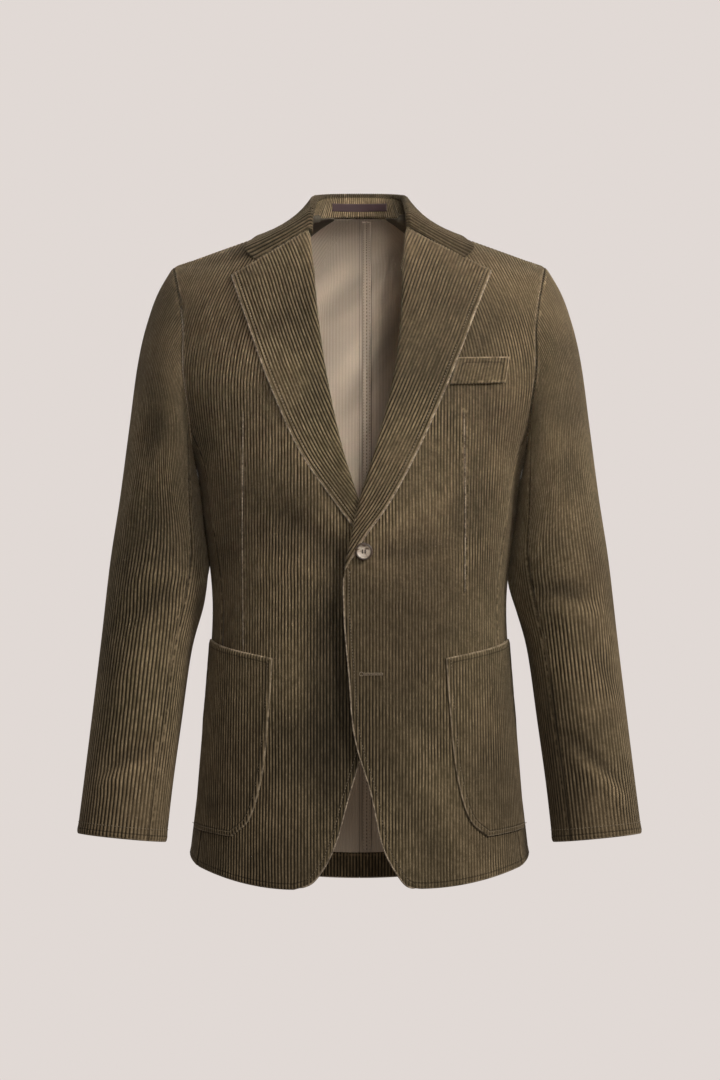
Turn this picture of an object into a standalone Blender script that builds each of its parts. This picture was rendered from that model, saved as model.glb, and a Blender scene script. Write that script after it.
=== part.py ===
"""A two-button corduroy jacket, worn and hollow, modelled piece by piece as it is cut and sewn.

Metres, +Z up.  The front faces -Y and the wearer's left is +X.  The origin lies between the
shoulders, level with the sides of the neck, where the wearer carries the jacket.
"""
import math

import bmesh
import bpy
import numpy as np

# ---------------------------------------------------------------- driving dimensions
CLOTH = 0.0020              # thickness of one wall of corduroy
SEAM_GAP = 0.0003           # space between two pieces at a seam
LAID_GAP = 0.0011           # space under a piece that lies on a curved panel
LAPEL_ROLL = 0.0040         # how much further a lapel stands off along its roll line
LAPEL_LIFT = 0.0012         # and across its top, over the turn of the shoulder
LAP_DEPTH = 0.0068          # how far the under front runs behind the over front
ROUNDNESS = 2.4             # exponent of the rounded body sections

SHOULDER_Y = 0.0            # the shoulder seam runs straight above the neck's sides
SHOULDER_SLOPE = 0.362      # drop of the shoulder seam for each unit outward
SHOULDER_TOP = 0.0322       # height the shoulder seams would meet at, on the centre line
SHOULDER_REACH = 0.2065     # shoulder seam's outer end, at the armhole
SHOULDER_ROLL = 0.120       # drop over which a panel turns from flat-on-top to upright
NECK_ROLL = 0.080           # the same, below the nape
NECK_ROUND = 0.030          # radius that rounds the shoulder line across the nape
NECK_SIDE_X = 0.0665        # shoulder seam's inner end
BACK_NECK_Z = 0.0100        # centre of the back neckline

ARMHOLE_TOP_Z = SHOULDER_TOP - SHOULDER_SLOPE * math.hypot(SHOULDER_REACH, NECK_ROUND)
ARMHOLE_BOTTOM_Z = -0.2560
ARMHOLE_FRONT = 0.0730      # reach of the armhole in front of the shoulder seam
ARMHOLE_BACK = 0.0780       # and behind it
FRONT_SEAM_ANGLE = -132.0   # where the side-front and side-back seams meet the armhole,
BACK_SEAM_ANGLE = 120.0     # in degrees round it from the shoulder

HEM_SIDE_Z = -0.7080         # hem at the side-front and side-back seams
HEM_SIDE_RISE = 0.0100       # and how much higher it is halfway between them
HEM_BACK_Z = -0.7290
HEM_TURNING = 0.0290        # depth of the turned-up back hem that shows inside
BACK_TAPE_WIDTH = 0.0100    # bound centre-back seam, inside, pressed to the wearer's left
BACK_TAPE_X = 0.0082         # how far towards that side its middle lies

BUTTON_X = 0.0048
UPPER_BUTTON_Z = -0.3595
LOWER_BUTTON_Z = -0.4945
BUTTON_RADIUS = 0.0098
BUTTON_THICKNESS = 0.0026
BUTTON_SHANK = 0.0036        # thread between the cloth and the fastened button
LOWER_SHANK = 0.0006
BUTTON_HOLE_RADIUS = 0.0009
BUTTON_HOLE_REACH = 0.0021

STAND_INSET = 0.0014        # the stand stands this far inside the neckline,
STAND_LEAN = 0.0011         # and leans in a little more by its fold
LABEL_WIDTH = 0.0610
LABEL_Z = 0.0248            # height of its middle
LABEL_HEIGHT = 0.0090
LABEL_THICKNESS = 0.0010

# Body sections: height, half width, depth in front of and behind the side line.
BODY_RINGS = (
    # z,     half_width, front,  back
    (0.040,  0.2000, 0.112, 0.122),
    (-0.044, 0.2065, 0.117, 0.129),
    (-0.105, 0.2190, 0.121, 0.133),
    (-0.150, 0.2240, 0.124, 0.134),
    (-0.220, 0.1995, 0.126, 0.129),
    (-0.256, 0.1840, 0.125, 0.124),
    (-0.330, 0.1720, 0.120, 0.112),
    (-0.414, 0.1628, 0.115, 0.103),
    (-0.500, 0.1670, 0.118, 0.110),
    (-0.600, 0.1765, 0.126, 0.123),
    (-0.700, 0.1880, 0.132, 0.130),
    (-0.740, 0.1920, 0.133, 0.132),
)

# Inner border of each front, from the hem's corner up the cutaway and the front edge, along
# the roll line to the gorge, then round the neck to the shoulder seam.
OVER_FRONT_EDGE = (
    # along,  x,      z
    (0.000, 0.0663, -0.7303),
    (0.030, 0.0518, -0.7270),
    (0.060, 0.0400, -0.7125),
    (0.110, 0.0250, -0.6820),
    (0.170, 0.0128, -0.6266),
    (0.240, -0.0040, -0.5700),
    (0.340, -0.0117, -0.4950),
    (0.440, -0.0173, -0.4200),
    (0.500, -0.0165, -0.3800),
    (0.580, -0.0006, -0.3066),
    (0.660, 0.0200, -0.2420),
    (0.760, 0.0385, -0.1639),
    (0.860, 0.0475, -0.0800),
    (0.945, 0.0530, 0.0010),
    (1.000, 0.0665, 0.0062),
)
UNDER_FRONT_EDGE = (
    # along,  x (towards the wearer's right is positive here), z
    (0.000, 0.0719, -0.7314),
    (0.030, 0.0530, -0.7248),
    (0.060, 0.0407, -0.7103),
    (0.110, 0.0260, -0.6800),
    (0.170, 0.0110, -0.6266),
    (0.240, -0.0060, -0.5700),
    (0.340, -0.0180, -0.4950),
    (0.440, -0.0245, -0.4200),
    (0.500, -0.0215, -0.3700),
    (0.580, 0.0004, -0.3066),
    (0.660, 0.0200, -0.2420),
    (0.760, 0.0375, -0.1639),
    (0.860, 0.0487, -0.0800),
    (0.945, 0.0574, -0.0010),
    (1.000, 0.0665, 0.0062),
)
# Share of a front's or back's border that its outer side spends below the armhole.
SEAM_SHARE = 0.66
# How far along its border a front reaches the gorge, and a back its neckline.
NECK_SHARE = 0.945

# Lapels, from the roll line to the outer edge, bottom to top.
OVER_LAPEL = (
    # along, roll_x,  roll_z,   edge_x,  edge_z
    (0.00, -0.0165, -0.3800, -0.0155, -0.3795),
    (0.12, -0.0100, -0.3480, 0.0030, -0.3475),
    (0.25, -0.0006, -0.3066, 0.0313, -0.3080),
    (0.40, 0.0173, -0.2498, 0.0600, -0.2560),
    (0.60, 0.0385, -0.1639, 0.0960, -0.1760),
    (0.80, 0.0475, -0.0800, 0.1290, -0.0910),
    (1.00, 0.0530, 0.0010, 0.1466, -0.0468),
)
UNDER_LAPEL = (
    (0.00, -0.0205, -0.3690, -0.0195, -0.3695),
    (0.12, -0.0130, -0.3420, -0.0020, -0.3440),
    (0.25, 0.0006, -0.3050, 0.0245, -0.3080),
    (0.40, 0.0180, -0.2500, 0.0608, -0.2565),
    (0.60, 0.0370, -0.1640, 0.0975, -0.1780),
    (0.80, 0.0487, -0.0800, 0.1290, -0.0900),
    (1.00, 0.0574, -0.0010, 0.1422, -0.0524),
)

# Collar, from the gorge round to the centre back: the fold at the top of the stand, a point
# that pulls the fall's profile, and the fall's outer edge.
COLLAR = (
    # along, fold x, y, z,            pull x, y, z,             edge x, y, z
    (0.00, 0.0560, -0.0560, 0.0030, 0.0850, -0.0660, -0.0150, 0.1140, -0.0720, -0.0330),
    (0.08, 0.0560, -0.0480, 0.0140, 0.0850, -0.0560, -0.0060, 0.1262, -0.0590, -0.0240),
    (0.22, 0.0548, -0.0280, 0.0262, 0.0755, -0.0330, 0.0028, 0.1190, -0.0330, -0.0130),
    (0.38, 0.0535, -0.0020, 0.0340, 0.0720, 0.0000, 0.0068, 0.1085, 0.0040, -0.0062),
    (0.58, 0.0475, 0.0310, 0.0374, 0.0660, 0.0400, 0.0150, 0.0935, 0.0500, -0.0085),
    (0.78, 0.0310, 0.0535, 0.0399, 0.0440, 0.0700, 0.0260, 0.0590, 0.0835, -0.0115),
    (1.00, 0.0000, 0.0620, 0.0408, 0.0000, 0.0830, 0.0290, 0.0000, 0.1000, -0.0070),
)

# Sleeve, from the shoulder to the cuff: its outer and inner lines, half depth, centre.
SLEEVE_RINGS = (
    # along, outer_x, outer_z, inner_x, inner_z, half_depth, centre_y
    (0.00, 0.2065, -0.0440, 0.1850, -0.2560, 0.0755, 0.0025),
    (0.06, 0.2220, -0.0700, 0.1850, -0.2680, 0.0775, 0.0020),
    (0.14, 0.2350, -0.1050, 0.1822, -0.2850, 0.0780, 0.0020),
    (0.24, 0.2455, -0.1500, 0.1768, -0.3100, 0.0765, 0.0040),
    (0.35, 0.2550, -0.2200, 0.1722, -0.3400, 0.0740, 0.0060),
    (0.46, 0.2655, -0.3000, 0.1686, -0.3750, 0.0700, 0.0040),
    (0.57, 0.2760, -0.3700, 0.1752, -0.4150, 0.0655, -0.0040),
    (0.69, 0.2855, -0.4550, 0.1870, -0.4700, 0.0600, -0.0140),
    (0.80, 0.2955, -0.5400, 0.1980, -0.5480, 0.0530, -0.0240),
    (0.91, 0.3045, -0.6150, 0.2080, -0.6220, 0.0465, -0.0360),
    (1.00, 0.3115, -0.6720, 0.2145, -0.6815, 0.0425, -0.0460),
)
SLEEVE_FRONT_SEAM = -128.0  # degrees round the sleeve from its outer line, front negative
SLEEVE_BACK_SEAM = 132.0

# Patch pockets: inner edge and bottom, as half of a rounded pouch; z of the mouth's ends.
POCKET_INNER = (
    # down,   x,      z
    (0.00, 0.0945, -0.4770),
    (0.25, 0.0990, -0.5400),
    (0.55, 0.1070, -0.6100),
    (0.80, 0.1210, -0.6560),
    (1.00, 0.1400, -0.6740),
)
POCKET_OUTER_Y = -0.020     # how far round the side a pocket reaches
POCKET_MOUTH_OUTER_Z = -0.4570
POCKET_BOTTOM_OUTER_Z = -0.6640

# Breast welt: its four corners.
WELT_CORNERS = (
    # x,      z
    (0.1000, -0.1762),
    (0.1611, -0.1739),
    (0.1656, -0.1445),
    (0.1085, -0.1455),
)

COLOURS = {
    "corduroy": (0.105, 0.077, 0.048, 1.0),
    "corduroy_inside": (0.390, 0.305, 0.215, 1.0),
    "horn": (0.120, 0.070, 0.040, 1.0),
    "label": (0.045, 0.022, 0.026, 1.0),
}
ROUGHNESS = {"corduroy": 0.95, "corduroy_inside": 0.95, "horn": 0.35, "label": 0.8}


# ---------------------------------------------------------------- curves and the body's form
def through(table, at):
    """A smooth curve through a table's rows; the first column says how far along each is."""
    rows = np.asarray(table, float)
    if rows[0, 0] > rows[-1, 0]:
        rows = rows[::-1]
    knots, values = rows[:, 0], rows[:, 1:]
    slopes = np.gradient(values, knots, axis=0)
    at = np.clip(np.asarray(at, float), knots[0], knots[-1])
    low = np.clip(np.searchsorted(knots, at, side="right") - 1, 0, len(knots) - 2)
    step = knots[low + 1] - knots[low]
    part = (at - knots[low]) / step
    part, step = part[..., None], step[..., None]
    square, cube = part ** 2, part ** 3
    return ((2 * cube - 3 * square + 1) * values[low]
            + (cube - 2 * square + part) * step * slopes[low]
            + (3 * square - 2 * cube) * values[low + 1]
            + (cube - square) * step * slopes[low + 1])


def ease(value, start, end):
    """0 before start, 1 after end, smooth between; start may be the larger."""
    part = np.clip((value - start) / (end - start), 0.0, 1.0)
    return part * part * (3.0 - 2.0 * part)


def shoulder_z(x):
    return SHOULDER_TOP - SHOULDER_SLOPE * np.hypot(x, NECK_ROUND)


def plain_depth(x, z, facing):
    """y of the body's front (facing -1) or back (+1), before the armhole shapes it."""
    ring = through(BODY_RINGS, z)
    reach = ring[..., 1] if facing < 0 else ring[..., 2]
    across = np.clip(np.abs(x) / ring[..., 0], 0.0, 0.999)
    depth = reach * (1.0 - across ** ROUNDNESS) ** (1.0 / ROUNDNESS)
    roll = NECK_ROLL + (SHOULDER_ROLL - NECK_ROLL) * ease(np.abs(x), 0.0, 0.10)
    turn = np.clip((shoulder_z(x) - z) / roll, 0.0, 1.0)
    return SHOULDER_Y + facing * depth * np.sqrt(1.0 - (1.0 - turn) ** 2)


def side_x(y, z):
    """x of the body's side at depth y and height z."""
    ring = through(BODY_RINGS, z)
    reach = np.where(y < 0, ring[..., 1], ring[..., 2])
    return ring[..., 0] * (1.0 - np.clip(np.abs(y) / reach, 0, 0.999) ** ROUNDNESS) ** (1.0 / ROUNDNESS)


def armhole(angle):
    """The armhole seam, by angle in radians from the shoulder; negative runs down the front."""
    middle = 0.5 * (ARMHOLE_TOP_Z + ARMHOLE_BOTTOM_Z)
    half = 0.5 * (ARMHOLE_TOP_Z - ARMHOLE_BOTTOM_Z)
    angle = np.asarray(angle, float)
    z = middle + half * np.cos(angle)
    reach = np.where(np.sin(angle) < 0, ARMHOLE_FRONT, ARMHOLE_BACK)
    y = SHOULDER_Y + reach * np.sin(angle)
    return side_x(y, z), y, z


def body_y(x, z, facing):
    """y of the finished front or back at x and z, drawn to the armhole seam near it."""
    x, z = np.broadcast_arrays(np.asarray(x, float), np.asarray(z, float))
    middle = 0.5 * (ARMHOLE_TOP_Z + ARMHOLE_BOTTOM_Z)
    half = 0.5 * (ARMHOLE_TOP_Z - ARMHOLE_BOTTOM_Z)
    angle = np.arccos(np.clip((z - middle) / half, -1.0, 1.0))
    hole_x, hole_y, _ = armhole(facing * angle)
    miss = hole_y - plain_depth(hole_x, z, facing)
    miss = np.where((z > ARMHOLE_BOTTOM_Z) & (z < ARMHOLE_TOP_Z), miss, 0.0)
    share = np.clip((np.abs(x) - 0.08) / (hole_x - 0.08), 0.0, 1.0) ** 3
    fade = ease(z, -0.225, -0.185)
    return plain_depth(x, z, facing) + miss * share * fade


def front_y(x, z, side):
    """y of one front's outer face; the under front sinks behind the over front at the lap."""
    y = body_y(x, z, -1)
    if side < 0:
        y = y + LAP_DEPTH * ease(x, -0.075, -0.015) * ease(z, -0.170, -0.260)
    return y


# ---------------------------------------------------------------- walls from grids of points
def outward_normals(points, away_from):
    """Unit normals of a grid of points, turned away from a grid of inner points."""
    along_u = np.gradient(points, axis=0)
    along_v = np.gradient(points, axis=1)
    normals = np.cross(along_u, along_v)
    normals /= np.maximum(np.linalg.norm(normals, axis=2, keepdims=True), 1e-12)
    flip = np.sum(normals * (points - away_from), axis=2) < 0
    normals[flip] *= -1.0
    return normals


def wall(name, outer, away_from, thickness=CLOTH, material="corduroy", keep=None, normals=None):
    """A closed wall whose outer face is a grid of points, thickened towards away_from.

    keep, where given, is a function that holds the inner face clear of a neighbour, and
    normals are the outer face's own, where neighbours have to share them.
    """
    if normals is None:
        normals = outward_normals(outer, away_from)
    inner = outer - normals * thickness
    if keep:
        inner = keep(inner)
    return closed_from_faces(name, outer, inner, material)


def closed_from_faces(name, outer, inner, material):
    """Joins two matching grids of points into one closed, triangulated body."""
    count_u, count_v = outer.shape[:2]
    mesh = bmesh.new()
    sheets = []
    for grid in (outer, inner):
        sheets.append([[mesh.verts.new(grid[i, j]) for j in range(count_v)] for i in range(count_u)])
    for sheet in sheets:
        for i in range(count_u - 1):
            for j in range(count_v - 1):
                mesh.faces.new((sheet[i][j], sheet[i + 1][j], sheet[i + 1][j + 1], sheet[i][j + 1]))
    rim = [(i, 0) for i in range(count_u)] + [(count_u - 1, j) for j in range(1, count_v)]
    rim += [(i, count_v - 1) for i in range(count_u - 2, -1, -1)]
    rim += [(0, j) for j in range(count_v - 2, 0, -1)]
    for (i, j), (m, n) in zip(rim, rim[1:] + rim[:1]):
        mesh.faces.new((sheets[0][i][j], sheets[0][m][n], sheets[1][m][n], sheets[1][i][j]))
    bmesh.ops.triangulate(mesh, faces=mesh.faces[:])
    bmesh.ops.recalc_face_normals(mesh, faces=mesh.faces[:])
    return finish_object(name, mesh, material)


def finish_object(name, mesh, material):
    data = bpy.data.meshes.new(name)
    mesh.to_mesh(data)
    mesh.free()
    data.shade_smooth()
    data.materials.append(materials[material])
    piece = bpy.data.objects.new(name, data)
    bpy.context.collection.objects.link(piece)
    return piece


def make_material(name):
    material = bpy.data.materials.new(name)
    material.use_nodes = True
    shader = material.node_tree.nodes["Principled BSDF"]
    shader.inputs["Base Color"].default_value = COLOURS[name]
    shader.inputs["Roughness"].default_value = ROUGHNESS[name]
    shader.inputs["Metallic"].default_value = 0.0
    return material


# ---------------------------------------------------------------- body panels
def panel_rows(count_below, count_above):
    """How far along its border each row of a front or back lies."""
    below = np.linspace(0.0, SEAM_SHARE, count_below, endpoint=False)
    turning = np.sin(np.linspace(0, 0.5 * math.pi, count_above))
    above = SEAM_SHARE + (NECK_SHARE - SEAM_SHARE) * turning
    round_neck = np.linspace(NECK_SHARE, 1.0, 4)[1:]
    return np.concatenate([below, above, round_neck])


ROWS = panel_rows(9, 8)


def outer_border(rows, facing):
    """x and z of a panel's outer side: up the side seam, then round the armhole."""
    seam = math.radians(FRONT_SEAM_ANGLE if facing < 0 else BACK_SEAM_ANGLE)
    _, seam_y, seam_z = armhole(seam)
    part = np.clip(rows / SEAM_SHARE, 0, 1)
    z_below = HEM_SIDE_Z + (seam_z - HEM_SIDE_Z) * part
    x_below = side_x(seam_y * np.ones_like(part), z_below)
    angle = seam * (1.0 - np.clip((rows - SEAM_SHARE) / (1.0 - SEAM_SHARE), 0, 1))
    x_above, _, z_above = armhole(angle)
    above = rows > SEAM_SHARE
    return np.where(above, x_above, x_below), np.where(above, z_above, z_below)


def panel_grid(inner_xz, facing, side, columns=9):
    """Points of a front or back, from its inner border to its outer one; x is side-positive."""
    outer_x, outer_z = outer_border(ROWS, facing)
    across = 1.0 - (1.0 - np.linspace(0, 1, columns)) ** 1.35
    if facing > 0:
        across = np.insert(across, 1, (0.030, 0.065))   # beside the binding, at the nape
    bow = 1.0 + np.clip(1.0 - ROWS / 0.1, 0, 1)
    x = inner_xz[:, 0][:, None] + (outer_x - SEAM_GAP / 2 - inner_xz[:, 0])[:, None] * across
    z = inner_xz[:, 1][:, None] + (outer_z - inner_xz[:, 1])[:, None] * across ** bow[:, None]
    z[-1] = shoulder_z(x[-1])
    z = np.minimum(z, shoulder_z(x))
    y = front_y(side * x, z, side) if facing < 0 else body_y(side * x, z, 1)
    return np.stack([side * x, y, z], axis=2)


def centre_of(points):
    """Points on the body's upright middle line, level with a grid's points."""
    middle = np.zeros_like(points)
    middle[..., 0] = points[..., 0] * 0.5
    middle[..., 2] = np.minimum(points[..., 2], -0.10)
    return middle


def make_front(name, edge_table, side):
    points = panel_grid(through(edge_table, ROWS), -1, side)
    points[..., 1] = np.minimum(points[..., 1], SHOULDER_Y - SEAM_GAP)

    def keep(inner):
        inner[..., 1] = np.minimum(inner[..., 1], SHOULDER_Y - SEAM_GAP)
        return inner
    return wall(name, points, centre_of(points), keep=keep)


def back_border(rows):
    """Centre back up to the neck, then the back neckline out to the shoulder seam."""
    part = np.clip(rows / NECK_SHARE, 0, 1)
    z = HEM_BACK_Z + (BACK_NECK_Z - HEM_BACK_Z) * part
    round_neck = np.clip((rows - NECK_SHARE) / (1 - NECK_SHARE), 0, 1)
    x = SEAM_GAP / 2 + (NECK_SIDE_X - SEAM_GAP / 2) * np.sin(0.5 * math.pi * round_neck)
    z = z + (shoulder_z(NECK_SIDE_X) - BACK_NECK_Z) * (1 - np.cos(0.5 * math.pi * round_neck))
    return np.stack([x, z], axis=1)


def make_back(name, side):
    points = panel_grid(back_border(ROWS), 1, side)
    points[..., 1] = np.maximum(points[..., 1], SHOULDER_Y + SEAM_GAP)

    def keep(inner):
        inner[..., 1] = np.maximum(inner[..., 1], SHOULDER_Y + SEAM_GAP)
        inner[..., 0] = side * np.maximum(side * inner[..., 0], SEAM_GAP / 2)
        return inner
    return wall(name, points, centre_of(points), keep=keep)


def side_grid(side, columns=7):
    """Points of a side panel, from the side-front seam to the side-back one."""
    angles = np.radians(np.linspace(FRONT_SEAM_ANGLE, BACK_SEAM_ANGLE - 360.0, columns))
    _, top_y, top_z = armhole(angles)
    top_y[0] += SEAM_GAP
    top_y[-1] -= SEAM_GAP
    part = np.linspace(0, 1, 10)[:, None]
    hem_z = HEM_SIDE_Z + HEM_SIDE_RISE * (1.0 - np.linspace(-1, 1, columns) ** 2)
    z = hem_z + (top_z - SEAM_GAP - hem_z) * part
    y = np.broadcast_to(top_y, z.shape)
    return np.stack([side * side_x(y, z), y, z], axis=2)


def make_side(name, side):
    points = side_grid(side)
    return wall(name, points, centre_of(points))


# ---------------------------------------------------------------- sleeves
def sleeve_point(angle, along):
    """Outer face of the wearer's left sleeve; angle runs round it from its outer line."""
    row = through(SLEEVE_RINGS, along)
    first = np.asarray(SLEEVE_RINGS[0][1:])
    hole = np.stack(armhole(angle), axis=-1)

    def ring_point(ring):
        outer_share = 0.5 + 0.5 * np.cos(angle)
        x = ring[..., 2] + (ring[..., 0] - ring[..., 2]) * outer_share
        z = ring[..., 3] + (ring[..., 1] - ring[..., 3]) * outer_share
        return np.stack([x, ring[..., 5] + ring[..., 4] * np.sin(angle), z], axis=-1)
    seam_share = np.clip(1.0 - along / 0.2, 0, 1)[..., None] ** 2
    point = ring_point(row) + (hole - ring_point(first)) * seam_share
    point[..., 0] += 2 * SEAM_GAP
    return point


def make_sleeve_piece(name, first_angle, last_angle, columns, side):
    angles = np.radians(np.linspace(first_angle, last_angle, columns))
    rows = np.linspace(0.0, 1.0, 14)
    grid_angle, grid_along = np.meshgrid(angles, rows)
    points = sleeve_point(grid_angle, grid_along)
    step = 0.001
    round_it = sleeve_point(grid_angle + step, grid_along) - sleeve_point(grid_angle - step, grid_along)
    near, far = np.clip(grid_along - step, 0, 1), np.clip(grid_along + step, 0, 1)
    down_it = sleeve_point(grid_angle, far) - sleeve_point(grid_angle, near)
    normals = np.cross(down_it, round_it)
    normals /= np.linalg.norm(normals, axis=2, keepdims=True)
    mirror = np.array([side, 1.0, 1.0])
    seam_x = points[0, :, 0]

    def keep(inner):
        inner[0, :, 0] = side * np.maximum(side * inner[0, :, 0], seam_x)
        return inner
    return wall(name, points * mirror, None, keep=keep, normals=normals * mirror)


def make_sleeve(side, word):
    gap = 0.35              # degrees between the two pieces at each seam
    make_sleeve_piece("upper_sleeve_" + word, SLEEVE_FRONT_SEAM + gap, SLEEVE_BACK_SEAM - gap, 13, side)
    make_sleeve_piece("under_sleeve_" + word, SLEEVE_BACK_SEAM + gap,
                      360.0 + SLEEVE_FRONT_SEAM - gap, 8, side)


# ---------------------------------------------------------------- lapels and collar
def make_lapel(name, table, side):
    rows = through(table, 0.995 * np.sin(np.linspace(0.0, 0.5 * math.pi, 15)))
    across = np.linspace(0.03, 1.0, 7)
    x = rows[:, 0][:, None] + (rows[:, 2] - rows[:, 0])[:, None] * across
    z = rows[:, 1][:, None] + (rows[:, 3] - rows[:, 1])[:, None] * across
    roll = LAPEL_ROLL * (1 - across) ** 2 * ease(z, -0.330, -0.220)
    lift = LAPEL_LIFT * ease(z, -0.140, -0.060)
    y = front_y(side * x, z, side) - (LAID_GAP + CLOTH) - roll - lift
    points = np.stack([side * x, y, z], axis=2)
    return wall(name, points, points + np.array([0.0, 1.0, 0.0]))


def both_sides(half):
    """A half, from the front to the centre back, and its mirror image, as one strip."""
    mirrored = half[-2::-1] * np.array([-1.0, 1.0, 1.0])
    return np.concatenate([half, mirrored])


def round_the_neck():
    """The collar's table, carried on past the centre back so that it runs smoothly there."""
    past = [(2.0 - row[0],) + tuple(-value if place % 3 == 0 else value
                                    for place, value in enumerate(row[1:]))
            for row in COLLAR[-2:-4:-1]]
    return COLLAR + tuple(past)


COLLAR_STATIONS = np.linspace(0.0, 1.0, 12)


def make_collar_fall():
    rows = through(round_the_neck(), COLLAR_STATIONS)
    fold, pull, edge = (rows[:, start:start + 3] for start in (0, 3, 6))
    down = np.linspace(0, 1, 6)[None, :, None]
    half = ((1 - down) ** 2 * fold[:, None] + 2 * down * (1 - down) * pull[:, None]
            + down ** 2 * edge[:, None])
    points = both_sides(half)
    inside = points * 0.5 + np.array([0.0, 0.0, -0.20])
    return wall("collar_fall", points, inside)


def neckline(stations):
    """The seam that the stand is sewn to, from the gorge round to the centre back."""
    front_share = 0.38
    along_front = np.clip(stations / front_share, 0, 1)
    edge = through(OVER_FRONT_EDGE, NECK_SHARE + (1 - NECK_SHARE) * along_front)
    front = np.stack([edge[:, 0], body_y(edge[:, 0], edge[:, 1], -1), edge[:, 1]], axis=1)
    along_back = np.clip((stations - front_share) / (1 - front_share), 0, 1)
    border = back_border(1.0 - (1 - NECK_SHARE) * along_back)
    back = np.stack([border[:, 0], body_y(border[:, 0], border[:, 1], 1), border[:, 1]], axis=1)
    return np.where((stations < front_share)[:, None], front, back)


def stand_grid():
    """Outer face of the stand, which leans in to the fold."""
    stations = COLLAR_STATIONS[1:]
    base = neckline(stations) + np.array([0.0, 0.0, 3 * SEAM_GAP])
    fold = through(round_the_neck(), stations)[:, :3]
    up = np.linspace(0, 1, 4)[None, :, None]
    half = base[:, None] * (1 - up) + (fold[:, None] + np.array([0, 0, -0.0030])) * up
    middle = np.array([0.0, 0.010, 0.0])
    toward = middle - half
    toward[..., 2] = 0.0
    toward /= np.linalg.norm(toward, axis=2, keepdims=True)
    half = half + toward * (STAND_INSET + STAND_LEAN * up)
    half[-1, :, 0] = 0.0
    return both_sides(half)


def make_collar_stand():
    points = stand_grid()
    inside = points * 0.0 + np.array([0.0, 0.010, 0.0])
    inside[..., 2] = points[..., 2]
    return wall("collar_stand", points, inside)


def make_label():
    """A blank woven label on the inner face of the stand, at the centre back."""
    across = np.linspace(-0.5, 0.5, 9) * LABEL_WIDTH
    grid = stand_grid()
    middle = grid[:, 1] * 0.55 + grid[:, 2] * 0.45
    order = np.argsort(middle[:, 0])
    y = np.interp(across, middle[order, 0], middle[order, 1])
    up = np.array([-0.5, 0.5]) * LABEL_HEIGHT
    lean = (grid[len(grid) // 2, 3, 1] - grid[len(grid) // 2, 0, 1]) / (
        grid[len(grid) // 2, 3, 2] - grid[len(grid) // 2, 0, 2])
    points = np.zeros((len(across), 2, 3))
    points[..., 0] = across[:, None]
    points[..., 1] = y[:, None] - CLOTH - LAID_GAP * 1.4 + lean * up[None, :] - 0.0004
    points[..., 2] = LABEL_Z + up[None, :]
    return wall("label", points, points + np.array([0.0, -1.0, 0.0]), LABEL_THICKNESS, "label")


def make_neck_facing(name, side):
    """The shoulder end of a front's facing, which shows inside the neck below the stand."""
    x = np.array([[0.0625, 0.0625], [0.0540, 0.0560], [0.0400, 0.0500], [0.0250, 0.0440]])
    z = np.array([[0.0050, -0.0130], [0.0055, -0.0100], [0.0070, -0.0020], [0.0080, 0.0050]])
    points = np.stack([side * x, body_y(x, z, 1), z], axis=2)
    deeper = np.array([-side * 0.0010, -0.0042, -0.0032])
    return wall(name, points + deeper, points + deeper * 20, 0.0012)


# ---------------------------------------------------------------- what is sewn on
def make_pocket(name, side):
    """A patch pocket that wraps from the front over the side-front seam, round at its foot."""
    down = np.linspace(0, 1, 9)
    inner = through(POCKET_INNER, down)
    across = np.linspace(0, 1, 8)
    outer_z = POCKET_MOUTH_OUTER_Z + (POCKET_BOTTOM_OUTER_Z - POCKET_MOUTH_OUTER_Z) * down
    z = inner[:, 1][:, None] + (outer_z - inner[:, 1])[:, None] * across
    inner_y = np.abs(body_y(inner[:, 0], inner[:, 1], -1))
    front_turn = np.arctan2(inner[:, 0] / through(BODY_RINGS, inner[:, 1])[:, 0],
                            inner_y / through(BODY_RINGS, inner[:, 1])[:, 1])
    last = through(BODY_RINGS, outer_z)
    last_turn = np.arctan2(side_x(POCKET_OUTER_Y * np.ones_like(outer_z), outer_z) / last[:, 0],
                           -POCKET_OUTER_Y / last[:, 1])
    turn = front_turn[:, None] + (last_turn - front_turn)[:, None] * across
    ring = through(BODY_RINGS, z)
    scale = (np.abs(np.sin(turn)) ** ROUNDNESS + np.abs(np.cos(turn)) ** ROUNDNESS) ** (-1 / ROUNDNESS)
    x = ring[..., 0] * np.sin(turn) * scale
    y = -ring[..., 1] * np.cos(turn) * scale
    points = np.stack([side * x, y, z], axis=2)
    middle = centre_of(points)
    points = points + outward_normals(points, middle) * (LAID_GAP + CLOTH)
    return wall(name, points, middle)


def make_welt():
    """The slanted welt of the breast pocket."""
    corners = np.asarray(WELT_CORNERS)
    across = np.linspace(0, 1, 5)[:, None, None]
    up = np.linspace(0, 1, 3)[None, :, None]
    low = corners[0] * (1 - across) + corners[1] * across
    high = corners[3] * (1 - across) + corners[2] * across
    flat = low * (1 - up) + high * up
    x, z = flat[..., 0], flat[..., 1]
    points = np.stack([x, front_y(x, z, 1) - (LAID_GAP * 0.6 + CLOTH), z], axis=2)
    return wall("breast_welt", points, points + np.array([0.0, 1.0, 0.0]))


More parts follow.
